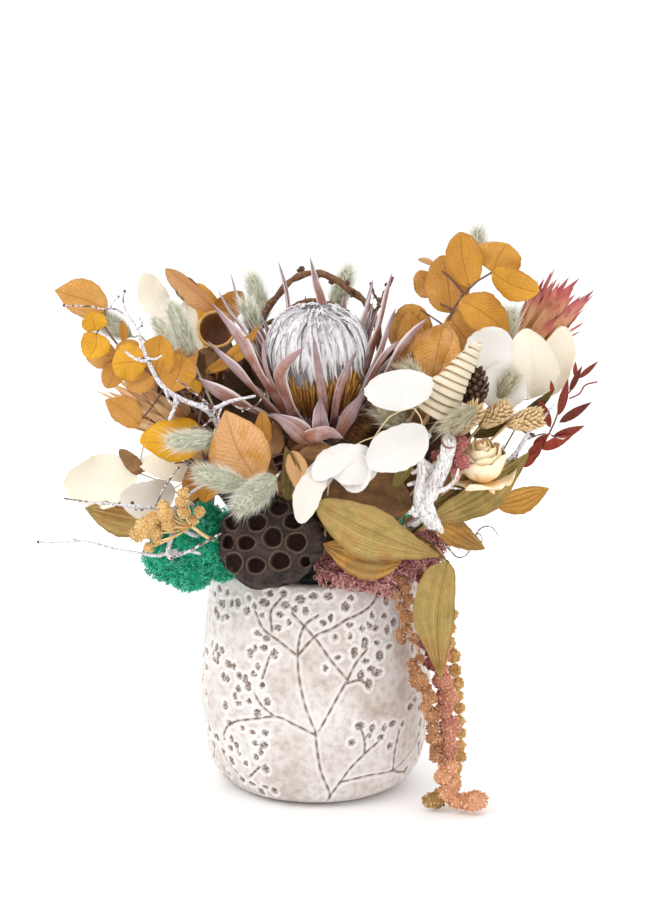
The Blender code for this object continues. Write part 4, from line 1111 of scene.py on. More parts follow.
def streaked_finish(
    name, tones, fibre_colour, fibres, bloom_colour, bloom, rough, lines=7, patch=150, rim_colour=None,
):
    """A bract, petal or scale: coloured from foot to tip, with fibres along it and a bloom in patches."""
    made, tree, shader = finish(name, rough)
    where = node(tree, "ShaderNodeTexCoord", out="Object")
    along, across, tone = read_marks(tree, "along", "across", "tone")
    patchy = {"Vector": where, "Scale": patch, "Detail": 5, "Roughness": 0.6}
    patches = node(tree, "ShaderNodeTexNoise", patchy)
    shifted = node(tree, "ShaderNodeMath", {0: tone, 1: 0.3, 2: along}, operation="MULTIPLY_ADD")
    mottled = node(tree, "ShaderNodeMath", {0: patches, 1: 0.3, 2: shifted}, operation="MULTIPLY_ADD")
    centred = node(tree, "ShaderNodeMath", {0: mottled, 1: 0.3}, operation="SUBTRACT")
    ground = node(tree, "ShaderNodeValToRGB", {"Fac": centred}, tones)
    own = node(tree, "ShaderNodeMath", {0: tone, 1: 37}, operation="MULTIPLY")
    wide = node(tree, "ShaderNodeMath", {0: across, 1: lines}, operation="MULTIPLY")
    fibre_place = node(tree, "ShaderNodeCombineXYZ", {0: wide, 1: along, 2: own})
    fibre_noise = node(tree, "ShaderNodeTexNoise", {"Vector": fibre_place, "Scale": 1.3, "Detail": 4})
    side = node(tree, "ShaderNodeMath", {0: across}, operation="ABSOLUTE")
    # Fibres, bloom and pale rim: what each is read from, from where to where, its strength and colour.
    edges = [(fibre_noise, 0.5, 0.68, fibres, fibre_colour), (patches, 0.46, 0.66, bloom, bloom_colour)]
    if rim_colour:
        edges.append((side, 0.68, 0.95, 0.8, rim_colour))
    layers = []
    for value, start, end, strength, colour in edges:
        bounds = {"From Min": start, "From Max": end, "To Max": strength}
        layers.append((node(tree, "ShaderNodeMapRange", {"Value": value} | bounds), colour))
    cover(tree, shader, ground, layers, fibre_noise, 0.8, 0.0008)
    return made


# Places down a dome's outline.
DOME_ROWS = 60


def silk(at, dome, count, width, random):
    """Flat silky strands hanging over a dome, tufted at the top and ragged at the lower edge."""
    rows = np.arange(DOME_ROWS)
    line = smooth(dome, DOME_ROWS)
    # The dome under the strands has the lowest tone, so it is darker than they are: a painted shade in the
    # gaps between them.
    strands = [turned_shape(at, line[::-1] - (1.0, 1.4), 30, tone=0.0)]
    for number in range(count):
        angle = random.uniform(0, 2 * np.pi)
        high = random.uniform(0.02, 0.5)
        low = 0.86 + 0.13 * math.sin(7 * angle) * random.uniform(0.4, 1.0) + random.uniform(-0.08, 0.06)
        run = np.linspace(high, low, 7)
        flare = random.uniform(0, 1) ** 3 * 6.0
        out = random.uniform(0.0, 2.8) + flare * steps(run, 0.8, 1.0) + 0.5 * np.sin(run * 9 + number)
        places = [np.interp(run * rows[-1], rows, line[:, i]) for i in (0, 1)]
        turns_here = angle + random.normal(0, 0.22) * (run - high) + 0.02 * np.sin(run * 14 + number)
        route = at(places[0], places[1] + out, turns_here)
        facing = outwards(at, angle) + (at(1, 0, 0) - at(0, 0, 0)) * 0.3
        wide = width * random.uniform(0.7, 1.25)
        look = dict(blunt=(0.4, 0.8), cup=random.uniform(-0.5, 0.9), thick=0.9, rows=8, columns=3)
        strands.append(blade(route, wide, facing, tone=random.choice((0.15, 0.5, 0.8, 1.0)), **look))
    for number in range(count // 4):
        angle = random.uniform(0, 2 * np.pi)
        spot = random.uniform(0, 0.42) * rows[-1]
        along, out = (np.interp(spot, rows, line[:, i]) for i in (0, 1))
        swing = angle + random.normal(0, 0.15)
        alongs, outs = (along - 1, along + 1.8, along - 1.5), (out - 1, out + 1.5, out + 5)
        route = at(alongs, outs, (angle, angle, swing))
        look = dict(blunt=(0.4, 0.6), cup=-0.8, thick=1, rows=6, columns=3, tone=random.uniform(0.5, 1))
        strands.append(blade(route, width * 0.55, outwards(at, angle, 1), **look))
    return strands


king_random = np.random.default_rng(31)
king_at = turned(KING_ROOT, KING_TIP)

# Silky strands: dead white to lilac grey, streaked with painted shade where the hairs part.
silk_white = streaked_finish(
    "protea_silk", ((0, "#969098"), (0.25, "#c6c0c5"), (0.5, "#ebe7e8"), (0.85, "#f2eeee"), (1, "#d4cac6")),
    "#97929a", 0.6, "#f4f1f2", 0.35, 0.75, lines=3, patch=260,
)
# Bracts: chestnut at the foot, mauve above, with a pale bloom and darker fibres about 1 mm apart.
mauve_bract = streaked_finish(
    "protea_bract_dried_mauve",
    ((0.05, "#54230f"), (0.38, "#8a4c34"), (0.6, "#a06e5c"), (0.8, "#ab8d8e"), (1, "#93797f")),
    "#57352e", 0.85, "#d3c3c6", 0.32, 0.75, patch=90, rim_colour="#eee4e4",
)
# Flower tubes: stiff, straw to chestnut.
flower_tube = streaked_finish(
    "protea_flower_tube", ((0, "#3a1c0c"), (0.35, "#6d3d17"), (0.7, "#b3762a"), (1, "#cf9744")),
    "#3a1c0c", 0.4, "#d9b27a", 0.3, 0.55, lines=2, patch=300,
)

silk_at = turned(np.add(KING_ROOT, SILK_SHIFT), np.add(KING_TIP, SILK_SHIFT))
silk_object = build("protea_king_silk", silk(silk_at, KING_DOME, 270, 2.9, king_random))
hair = build("silk_hair", [spike((0, 0, 0), (0.3, 0, 1.9), 0.09)])
hanging_way = tuple(-1.1 * unit(np.subtract(KING_TIP, KING_ROOT)))
hair_settings = {"Sprig": hair, "Density": 1.3e5, "Seed": 4, "Finish": silk_white}
grow(silk_object, Smallest=0.6, Largest=1.3, Spread=0.5, Lean=hanging_way, **hair_settings)
bpy.data.objects.remove(hair)
place(silk_object, "protea", "protea_king")

tubes = [turned_shape(king_at, ((0, 4), (4, 9), (14, 15), (28, 21), (40, 25), (52, 24)), 24, tone=0.0)]
for number in range(190):
    angle = king_random.uniform(0, 2 * np.pi)
    reach = king_random.uniform(36, 48)
    out = king_random.uniform(24.5, 28.5)
    outs = (9, 15.8, 21.5 + king_random.normal(0, 0.8), out)
    route = king_at((5, 14, 26, reach), outs, angle + king_random.normal(0, 0.04) * np.arange(4))
    thick, tone = king_random.uniform(0.45, 0.75), king_random.uniform(-0.3, 0.8)
    tubes.append(rod(smooth(route, 6), thick, 4, tone=tone))
# A brush of fine tubes that stand out over the bracts in front.
for number in range(460):
    share = king_random.uniform(0, 1)
    start = (16, -62, 230) + share * np.array((27, 6, 32)) + king_random.normal(0, 2.2, 3)
    away = unit((0.8, -0.35, -0.35) + king_random.normal(0, 0.28, 3))
    end = start + away * king_random.uniform(6, 12)
    tubes.append(spike(start, end, 0.2, tone=king_random.uniform(0.2, 1.3)))
place(build("protea_king_tubes", tubes, flower_tube), "protea", "protea_king")


def bract(route, width, at, foot_radius, random, **settings):
    """A stiff bract along a route, rooted on the cup below it."""
    offset = np.asarray(route[-1], float) - at(0, 0, 0)
    axis = at(1, 0, 0) - at(0, 0, 0)
    height = offset @ axis
    away = np.linalg.norm(offset - axis * height)
    outward = unit(offset - axis * height)
    points = [at(2, 0, 0) + outward * foot_radius]
    if height > 24:
        points.append(at(height * 0.45, 0, 0) + outward * (foot_radius + away) * 0.56)
    look = dict(
        widest=0.6, blunt=(0.3, 0.78), cup=random.uniform(0.9, 1.6), ripple=0.16 * width,
        waves=random.uniform(2.5, 5), thick=0.7, skew=random.normal(0, 1.2), edge=0.04,
        twist=random.uniform(-0.5, 0.5), rows=19, shift=random.uniform(0, 6), tone=random.uniform(0, 0.7),
    )
    return blade([*points, *route[::-1]], width, -outward, **(look | settings))


bracts = [rod(stem_points((1, -8), [KING_ROOT], 14), 3, 10, tone=-0.2)]
for route, width in KING_BRACTS:
    bracts.append(bract(route, width, king_at, KING_FOOT_RADIUS, king_random))
# Tall bracts round the back, then a ring of short ones at the foot of the cup.
for number in range(15):
    angle = math.radians(-6 + 13.5 * number) + king_random.normal(0, 0.05)
    tall = king_random.uniform(50, 74)
    lean = king_random.uniform(38, 52)
    route = king_at((tall, 0.72 * tall, 0.46 * tall), (lean, 0.82 * lean, 30), angle)
    bracts.append(bract(route, king_random.uniform(7, 10), king_at, KING_FOOT_RADIUS, king_random))
for number in range(22):
    angle = 2 * np.pi * number / 22 + king_random.normal(0, 0.06)
    tall = king_random.uniform(13, 24)
    route = king_at((tall, 0.55 * tall), (19, 15.5), angle)
    bracts.append(bract(route, 9, king_at, 6, king_random, blunt=(0.4, 0.8), rows=9, columns=5, cup=-0.5))
place(build("protea_king_bracts", bracts, mauve_bract), "protea", "protea_king")

# Smaller proteas
# Three smaller heads on woody stems, each a tight cup of strap-like bracts: two dried orange tan, of
# which the right one has crimson tips, and a mauve one with a silky middle at the back.


small_random = np.random.default_rng(32)


def small_protea(name, slot, cad_node, entry, root, tip, radius, flare, material, width=6.5, straps=13):
    """A cup of three whorls of strap bracts round a tuft of styles."""
    at = turned(root, tip)
    length = np.linalg.norm(np.subtract(tip, root))
    parts = [rod(stem_points(entry, [root], 14), 2.2, 9, tone=-0.3)]
    core = ((0, 2), (5, 6), (0.5 * length, 0.6 * radius), (0.8 * length, 0.5 * radius))
    parts.append(turned_shape(at, core, 14))
    for whorl in range(3):
        for number in range(straps):
            angle = 2 * np.pi * (number + whorl / 3 + small_random.normal(0, 0.12)) / straps
            reach = length * (0.86 + 0.12 * whorl + small_random.normal(0, 0.05))
            out = radius * (0.95 - 0.14 * whorl)
            outs = (out + flare * small_random.uniform(0.3, 1.3), out, 0.68 * out)
            route = at((reach, 0.68 * reach, 0.3 * reach), outs, angle)
            look = dict(blunt=(0.4, 0.9), cup=small_random.uniform(-0.7, -0.2), columns=5, rows=13)
            parts.append(bract(route, width, at, 3, small_random, **look))
    for number in range(170):
        angle = small_random.uniform(0, 2 * np.pi)
        out = radius * small_random.uniform(0.1, 0.62)
        end = at(length * small_random.uniform(0.8, 1.0), out * 1.15, angle)
        parts.append(spike(at(0.6 * length, out, angle), end, 0.35, tone=small_random.uniform(0, 0.6)))
    place(build(name, parts, material), slot, cad_node)


# Dried strap bracts: satin tan with reddish brown streaks, and on the right head crimson at the tips.
tan_bract = streaked_finish(
    "protea_bract_dried_tan",
    ((0, "#b46c3a"), (0.25, "#eaa868"), (0.5, "#fccc94"), (0.8, "#fdd8a6"), (1, "#f2bc84")),
    "#9c5630", 0.8, "#f6d8ae", 0.4, 0.5, lines=4, patch=140,
)
crimson_tip = streaked_finish(
    "protea_bract_crimson_tipped",
    ((0, "#9a6638"), (0.4, "#dda468"), (0.66, "#eab488"), (0.82, "#cf5f60"), (1, "#8f2038")),
    "#b0544a", 0.6, "#f0b8a0", 0.35, 0.55, lines=5, patch=160,
)
small_protea(
    "protea_left_tan", "tan_protea", "protea_left", (-26, -8), (-72, -14, 222), (-111, -27, 255), 19, 6,
    tan_bract, width=5.6, straps=22,
)
small_protea(
    "protea_right_tan", "tan_protea", "protea_right", (30, 8), (118, 6, 258), (150, 2, 304), 15, 5,
    crimson_tip,
)
BACK_ROOT = (8, 62, 216)
BACK_TIP = (14, 92, 256)
small_protea(
    "protea_back_mauve", "protea", "protea_back", (4, 24), BACK_ROOT, BACK_TIP, 15, 4, mauve_bract,
    width=6,
)
back_dome = ((46, 1), (44, 6), (38, 10), (30, 11.5), (22, 10))
back_silk = silk(turned(BACK_ROOT, BACK_TIP), back_dome, 70, 2.2, small_random)
place(build("protea_back_silk", back_silk, silk_white), "protea", "protea_back")

# Seed cup, cones and vine
# A bell-shaped seed cup that opens to the front, a small dark cone, a cone wound of peeled cane, and a
# knobbly brown vine bent into an arch behind the big protea.

CUP_OUTLINE = (
    (0, 1.4), (1.5, 3.4), (6, 6.2), (13, 8.8), (20, 10.4), (24.5, 11.4), (25.4, 11.2), (25, 10.3),
    (21, 9.4), (16, 7.8), (12.5, 5), (11.5, 1),
)
# Bark: dull brown, and darker inside the cup, deepest at its bottom: a painted shade in the hollow.
bark = streaked_finish(
    "seed_cup_bark", ((0, "#96693f"), (0.45, "#a8764a"), (0.6, "#8a5a38"), (1, "#5e3820")),
    "#3a2214", 0.6, "#946a40", 0.3, 0.7, lines=8, patch=220,
)
# The lip of the cup: a ring of tan where the bark has dried back.
lip_tan = streaked_finish(
    "seed_cup_lip_tan", ((0, "#9c7038"), (0.4, "#d3a655"), (1, "#c2924a")),
    "#8a5f30", 0.4, "#e6c27e", 0.4, 0.6, lines=8, patch=260,
)
cup_at = turned((-60, 0, 276), (-58.5, -26, 289))
lip_ring = cup_at(24.9, 10.8, np.linspace(0, 2 * np.pi, 49))
place(build("bell_cup_lip", [rod(lip_ring, 1, 8)], lip_tan), "bark", "bell_cup")
cup_parts = [
    turned_shape(cup_at, smooth(CUP_OUTLINE, 40), 96, ribs=16, depth=0.035, tone=0.15),
    rod(stem_points((-17, -2), [(-52, -10, 252), (-58, -2, 270), (-60, 1, 277)], 18), 1.5, 8, tone=-0.2),
]
place(build("bell_cup_brown", cup_parts, bark), "bark", "bell_cup")

CONE_SCALES = 64
# Radians from each scale to the next, which is the golden angle as in real cones and heads of grass.
SPIRAL = 2.4
cone_random = np.random.default_rng(33)
cone_at = turned((91, -54, 247), (93, -59, 269))
# Cone scales: dark brown wood, dull, and paler where the tips have dried back.
cone_bark = streaked_finish(
    "cone_scale_dark", ((0, "#241610"), (0.5, "#4a3124"), (1, "#7d5b40")),
    "#1f130d", 0.5, "#8c6a4c", 0.3, 0.7, lines=4, patch=250,
)
cone_parts = [rod(stem_points((28, -13), [(91, -54, 247)], 14), 1.2, 7)]
cone_parts.append(turned_shape(cone_at, ((0, 2), (4, 6), (10, 7), (17, 5), (22, 1)), 12))
for number in range(CONE_SCALES):
    along = 1.5 + 20 * number / CONE_SCALES
    angle = number * SPIRAL
    out = np.interp(along, (0, 4, 10, 17, 22), (3, 6.2, 7.4, 5.2, 1.4))
    route = cone_at((along - 1, along + 1.5, along + 4.5), (out - 1.5, out + 1.2, out + 1.8), angle)
    look = dict(cup=-0.6, thick=0.9, rows=6, columns=5, tone=cone_random.uniform(0, 0.6))
    cone_parts.append(blade(route, 4.2, outwards(cone_at, angle), **look))
place(build("dark_cone_scaled", cone_parts, cone_bark), "bark", "dark_cone")

CANE_ROOT = (66, -70, 246)
CANE_TIP = (95, -66, 287)
CANE_PITCH = 4.4
CANE_OUTLINE = ((0, 13), (8, 11.8), (20, 9.6), (25, 7.4), (36, 5.8), (46, 3.2), (50, 1.4))
# Peeled cane: cream to straw, smooth, with tan fibres along the strip.
peeled_cane = streaked_finish(
    "cane_peeled_cream", ((0, "#e9dcc0"), (0.5, "#efe4cd"), (1, "#e2cfa9")),
    "#bb9866", 0.8, "#f3ead6", 0.25, 0.5, lines=5, patch=200,
)
# The pith inside the winding: straw brown, darkened as painted shade where it shows between the strips.
cane_pith_painted_shade = streaked_finish(
    "cane_pith_brown", ((0, "#a8875c"), (0.5, "#cbab7c"), (1, "#b59266")),
    "#8f6c46", 0.5, "#c8a878", 0.3, 0.75, lines=3, patch=300,
)
cane_at = turned(CANE_ROOT, CANE_TIP)
cane_length = np.linalg.norm(np.subtract(CANE_TIP, CANE_ROOT))
winding = np.linspace(0, cane_length - 1, 280)[:, None]
over_strip = np.linspace(1, -1, 9)[None, :]
strip_angle = winding * 2 * np.pi / CANE_PITCH
strip_radius = np.interp(winding, *zip(*CANE_OUTLINE)) + 0.3 - over_strip - 0.25 * over_strip**2
strip_radius = strip_radius * (1 + 0.03 * np.sin(2 * strip_angle + winding))
strip_radius = strip_radius + 0.22 * np.cos(9.4 * over_strip)
strip_along = winding + over_strip * 2 + 0.11 * strip_radius * np.sin(strip_angle + 0.08 * winding)
strip_grid = cane_at(strip_along, strip_radius, strip_angle)
strip_normals = unit(strip_grid - cane_at(strip_along, 0, 0))
strip_marks = {"along": 0.5 * winding / cane_length, "across": over_strip, "tone": 0.4}
cane = sheet_solid(strip_grid, strip_normals, 0.7, **strip_marks)
place(build("cane_cone_wound", [cane], peeled_cane), "cream_cane", "cane_cone")
# The core that shows between the strips carries painted shade.
cane_inside = [
    rod(stem_points((20, -20), [CANE_ROOT], 14), 1.2, 7),
    turned_shape(cane_at, [(along, max(out - 0.6, 0.4)) for along, out in CANE_OUTLINE], 18),
]
place(build("cane_cone_core", cane_inside, cane_pith_painted_shade), "cream_cane", "cane_cone")

VINE_ROWS = 34
# Route and radius of each piece of the vine.
VINES = (
    (
        (
            (-36, -4, 262), (-37, -3, 281), (-32, -3, 291), (-26, -2, 300), (-16, -2, 312), (-6, -2, 317.5),
            (6, -2, 317), (22, -3, 307), (31, -4, 299), (37, -8, 286), (40, -10, 264),
        ),
        2.2,
    ),
    (
        (
            (-34, -2, 284), (-21, -4, 292), (-12, -5, 299), (-4, -6, 302), (6, -6, 301), (20, -6, 294),
            (30, -8, 280),
        ),
        1.3,
    ),
    (((33, -8, 284), (36, -14, 296), (40, -18, 306), (46, -20, 318)), 1),
    (((38, -16, 302), (34, -16, 309), (33, -16, 314)), 0.7),
)
# Vine bark: rough and flaky, brown with darker fibres and pale dry patches.
vine_bark = streaked_finish(
    "vine_bark", ((0, "#4a2f20"), (0.5, "#6f4a30"), (1, "#553421")),
    "#2b1a12", 0.6, "#a98258", 0.5, 0.8, lines=5, patch=420,
)
vine_parts = [rod(stem_points((-9, 2), [(-22, -2, 210), (-34, -4, 262)], 20), 1.5, 7, tone=0.3)]
for route, radius in VINES:
    path = smooth(route, VINE_ROWS)
    gnarled = 1 + 0.16 * np.sin(np.arange(VINE_ROWS) * 2.3) + cone_random.normal(0, 0.09, VINE_ROWS)
    uneven = path + cone_random.normal(0, 0.25, path.shape)
    vine_parts.append(rod(uneven, radius * gnarled, 8, tone=cone_random.uniform(0, 0.6)))
    for spot in cone_random.choice(np.arange(2, VINE_ROWS - 1), 12, replace=False):
        knot = path[spot] + cone_random.normal(0, radius * 0.75, 3)
        size = radius * cone_random.uniform(0.6, 1.1)
        vine_parts.append(lump(knot, size, size, spot, rows=6, sides=8, rough=0.25))
        stub = knot + unit(cone_random.normal(0, 1, 3)) * radius * cone_random.uniform(1.2, 2.2)
        stub_radii = (0.5 * size, 0.4 * size, 0.3 * size)
        vine_parts.append(rod([knot, (knot + stub) / 2, stub], stub_radii, 6, tone=0.8))
place(build("vine_arch_knobbly", vine_parts, vine_bark), "bark", "vine_arch")

# Bunny tails
# Hare's-tail grass, dried and dyed pale sage: a soft egg-shaped head of fine bristles on a thin stem that
# is pushed into the foam.

# Way into the foam, foot and tip of the head, its width, and a bend of the stem where it has one.
BUNNY_TAILS = (
    ((-31, 10), (-108, -30, 284), (-138, -36, 302), 17, ((-96, 4, 266),)),
    ((-24, -20), (-72, -40, 272), (-86, -42, 311), 15, ()),
    ((-5, 11), (-30, 12, 286), (-41, 15, 319), 14, ()),
    ((-11, -10), (-35, -28, 284), (-42, -34, 309), 11, ()), ((4, 4), (10, 12, 290), (22, 12, 324), 14, ()),
    ((22, 10), (94, 2, 318), (98, 0, 348), 13, ()), ((31, 0), (112, -16, 278), (117, -18, 301), 14, ()),
    ((-29, -26), (-54, -86, 235), (-88, -94, 234), 14, ()),
    ((-22, -31), (-38, -93, 208), (-72, -102, 220), 15, ((-32, -56, 202),)),
    ((-12, -36), (-22, -92, 214), (-48, -112, 197), 21, ((-18, -56, 204),)),
    ((10, -20), (64, -58, 256), (50, -62, 275), 13, ()),
    ((12, -27), (54, -62, 236), (33, -67, 250), 14, ()),
    ((26, -22), (93, -84, 253), (70, -88, 238), 11, ((68, -62, 236),)),
    ((34, -9), (106, -50, 250), (117, -52, 268), 12, ((78, -28, 214),)),
)
# The three at the back: foot, tip and width of the head, and the place where their stems meet.
BACK_TAILS = (
    ((-96, 66, 232), (-122, 74, 246), 14), ((-84, 56, 256), (-104, 62, 284), 14),
    ((-92, 84, 208), (-112, 96, 213), 13),
)
BACK_TIE = (-56.5, 48, 209)
# The low tails on the right, from this number on, have dried to straw.
FIRST_STRAW_TAIL = 11
BRISTLE = 7.6
AWNS = 80
# Height up the head and radius, as shares of its length and of its width.
TAIL_OUTLINE = ((0.02, 0.05), (0.1, 0.17), (0.3, 0.27), (0.55, 0.25), (0.75, 0.16), (0.86, 0.04))

bristle_random = np.random.default_rng(41)
bristle_tips = [(math.cos(a) * 1.9, math.sin(a) * 1.9, BRISTLE) for a in (0.3, 2.4, 4.5)]
bristle = build("bristle", [spike((0, 0, -0.6), tip, 0.11) for tip in bristle_tips])
# Bristles: matt sage or straw, paler at their tips, where the hairs catch light.
sage_bristle = moss_finish("bunny_tail_bristle_sage", "#b0b194", "#d8d8be", "#f9f8ee")
straw_bristle = moss_finish("bunny_tail_bristle_straw", "#9c9272", "#c6bc98", "#ebe3cb")


def bristly(name, cad_node, parts, root, tip, seed, material):
    """Places a head with its stem, under bristles that lean along the head."""
    ground = build(name, parts)
    settings = {"Sprig": bristle, "Density": 8.2e5, "Seed": seed, "Finish": material}
    lean = tuple(1.5 * unit(np.subtract(tip, root)))
    grow(ground, Smallest=0.6, Largest=1.15, Spread=0.26, Lean=lean, **settings)
    place(ground, "bunny_tail", cad_node)


def tail_head(root, tip, width):
    """The core of a bunny tail, which the bristles hide, and the long pale awns that pass them."""
    length = np.linalg.norm(np.subtract(tip, root))
    at = turned(root, tip)
    outline = smooth([(along * length, out * width) for along, out in TAIL_OUTLINE], 12)
    parts = [turned_shape(at, outline, 12)]
    for _ in range(AWNS):
        along = bristle_random.uniform(0.05, 0.8) * length
        out = np.interp(along, outline[:, 0], outline[:, 1])
        angle = bristle_random.uniform(0, 2 * np.pi)
        reach = bristle_random.uniform(9, 14.5)
        end_out = out + reach * bristle_random.uniform(0.25, 0.7)
        end = at(along + reach, end_out, angle + bristle_random.normal(0, 0.2))
        parts.append(spike(at(along, out, angle), end, 0.17, tone=1.2, stem=1.0))
    return parts


for number, (entry, root, tip, width, bend) in enumerate(BUNNY_TAILS, 1):
    neck = unit(np.subtract(tip, root)) * 4 + root
    parts = [rod(stem_points(entry, [*bend, root, neck]), 0.75, 6, stem=1.0), *tail_head(root, tip, width)]
    name = f"bunny_tail_{number}"
    material = sage_bristle if number < FIRST_STRAW_TAIL else straw_bristle
    bristly(name + "_bristly", name, parts, root, tip, number, material)

back_stem = rod(stem_points((-36, 22), [BACK_TIE], 14), 0.9, 6, stem=1.0)
for number, (root, tip, width) in enumerate(BACK_TAILS):
    middle = np.add(BACK_TIE, root) / 2 + (0, 0, 4)
    parts = [rod(smooth([BACK_TIE, middle, root], 12), 0.75, 6, stem=1.0), *tail_head(root, tip, width)]
    if number == 0:
        parts.append(back_stem)
    bristly(f"bunny_tails_back_{number}", "bunny_tails_back", parts, root, tip, 20 + number, sage_bristle)
bpy.data.objects.remove(bristle)

# Canary grass
# Dried canary grass, left its straw colour: short heads of flat overlapping scales, each folded to a
# keel and drawn out to a point.

CANARY_GRASS = (
    ((30, -17), (80, -66, 232), (95, -72, 252), 13.5, ((58, -38, 192),)),
    ((35, -17), (96, -58, 236), (113, -64, 250), 12.5, ((78, -34, 206),)),
    ((40, -12), (112, -58, 237), (133, -62, 243), 14, ((84, -26, 200),)),
)
GRASS_SCALES = 105
# Scales: straw, browner at the foot, with olive brown fibres and a pale bloom in patches.
straw_scale = streaked_finish(
    "canary_grass_scale", ((0, "#a07c48"), (0.4, "#dcb67c"), (0.8, "#f8dcae"), (1, "#e2bc82")),
    "#a58848", 0.5, "#f8e8c4", 0.3, 0.6, lines=3, patch=260,
)
straw_random = np.random.default_rng(42)
look = dict(widest=0.55, blunt=(0.5, 1), cup=-0.8, fold=-0.25, thick=0.5, rows=5, columns=5)
for number, (entry, root, tip, width, bend) in enumerate(CANARY_GRASS, 1):
    at = turned(root, tip)
    length = np.linalg.norm(np.subtract(tip, root))
    core = ((0, 1.5), (0.3 * length, 0.3 * width), (0.7 * length, 0.28 * width), (length - 3, 1))
    parts = [rod(stem_points(entry, [*bend, root]), 0.8, 6, tone=0.3), turned_shape(at, core, 10)]
    for scale in range(GRASS_SCALES):
        along = (length - 3.5) * (scale + 0.5) / GRASS_SCALES
        out = width * 0.5 * math.sin(math.pi * (0.13 + 0.78 * along / length)) ** 0.6
        angle = scale * SPIRAL + straw_random.normal(0, 0.1)
        end_angle = angle + straw_random.normal(0, 0.06)
        outs = (0.35 * out, 0.82 * out, out * 1.06)
        route = at((along - 1.2, along + 1.6, along + 4.8), outs, (angle, angle, end_angle))
        parts.append(blade(route, 2.5, outwards(at, angle), tone=straw_random.uniform(0, 0.8), **look))
    name = f"canary_grass_{number}"
    place(build(name + "_scaled", parts, straw_scale), "straw", name)

# Rose
# A preserved rose, cream yellow with a peach heart, its soft petals wrapped round each other and the
# outer ones fallen open.

ROSE_ROOT = (99, -60, 204)
ROSE_TIP = (96, -68, 228)
# How many petals, how far up and out their edges reach, their width, and how much they curl in.
ROSE_WHORLS = (
    (3, 26, 3.2, 11, -1.6), (3, 25.5, 5.6, 15, -1.3), (4, 24, 8.2, 20, -1.1), (4, 21.5, 10.8, 24, -0.95),
    (5, 18, 13.2, 25, -0.85), (4, 6, 18, 24, -0.2),
)
# Petal: soft and slightly silky, deeper towards the heart.
rose_petal = streaked_finish(
    "rose_petal_cream", ((0, "#f9d092"), (0.35, "#ffe2ae"), (0.7, "#fff2d6"), (1, "#ffe0a8")),
    "#f1d6a2", 0.2, "#fcf4e0", 0.4, 0.5, lines=2, patch=90,
)
rose_random = np.random.default_rng(43)
rose_at = turned(ROSE_ROOT, ROSE_TIP)
rose_core = ((-2, 1.6), (0, 4), (5, 9), (11, 10), (16, 8), (20, 5), (22, 1.5))
rose_parts = [
    rod(stem_points((40, -22), [(76, -36, 176), ROSE_ROOT], 16), 1.7, 8, tone=-0.4),
    turned_shape(rose_at, rose_core, 18, tone=0.3),
]
for whorl, (count, up, out, wide, curl) in enumerate(ROSE_WHORLS):
    for petal in range(count):
        angle = 2 * np.pi * (petal + 0.4 * whorl) / count + rose_random.normal(0, 0.1)
        top = up + rose_random.normal(0, 0.7)
        outs = (1.5, 0.72 * out, out, out * 0.9 + 0.6 * whorl)
        route = rose_at((0, 0.3 * top, 0.72 * top, top), outs, angle + np.array([0, 0, 0, 0.04]))
        look = dict(
            widest=0.6, blunt=(0.45, 0.3), cup=curl, ripple=1.1, waves=2.5, edge=0.04,
            shift=rose_random.uniform(0, 6), thick=0.6, rows=12, columns=11,
            tone=0.62 - 0.12 * whorl + rose_random.normal(0, 0.1),
        )
        rose_parts.append(blade(route, wide, outwards(rose_at, angle), **look))
for number in range(5):
    route = rose_at((-1, -0.5, -2.5), (1.5, 7, 13), 2 * np.pi * number / 5)
    rose_parts.append(blade(route, 5, (0, 0, 1), thick=0.5, rows=8, columns=5, tone=-0.3))
place(build("rose_cream_petals", rose_parts, rose_petal), "rose_petal", "rose")

# Driftwood and twigs
# A knotty piece of root on a wire, and birch twigs, all painted thinly in white: the paint has cracked
# off the bumps and buds, where red-brown bark shows.

# Each branch: its points with the radius there, how many rings, and how many sides.
DRIFTWOOD = (
    (
        (
            (77, -82, 232, 4.2), (75, -82, 224, 4), (72, -82, 216, 5.2), (68, -82, 209, 6.8),
            (65, -82, 202, 6.9), (63, -82, 196, 5.8), (66, -82, 187, 3.9), (74, -82, 178, 0.9),
        ),
        70, 26,
    ),
    (
        (
            (61, -83, 230, 2), (60, -85, 223, 2.3), (61, -86, 214, 2.9), (60, -86, 206, 3.1),
            (60, -85, 197, 2.8), (63, -84, 189, 1.6),
        ),
        40, 14,
    ),
    (((67, -82, 216, 2.7), (61, -82, 221, 2.1), (61, -81, 229, 1.8), (66, -80, 236, 1.3)), 22, 12),
    (((66, -82, 211, 2.7), (60, -84, 216, 1.9), (56, -83, 214, 1.4), (53, -82, 218, 0.9)), 18, 10),
    (((65, -82, 205, 2.3), (58, -84, 208, 1.6), (53, -84, 207, 1.1)), 14, 8),
    (((66, -84, 203, 2), (74, -86, 205, 1.4), (80, -86, 210, 1.1), (82, -86, 217, 0.6)), 18, 8),
    (((76, -86, 206, 0.8), (84, -86, 205, 0.4)), 8, 6),
    (((63, -82, 193, 3.5), (58, -83, 189, 2.1), (55, -84, 192, 0.9)), 14, 10),
    (((64, -80, 189, 2.9), (58, -80, 183, 1.9), (54, -78, 182, 1)), 14, 10),
)
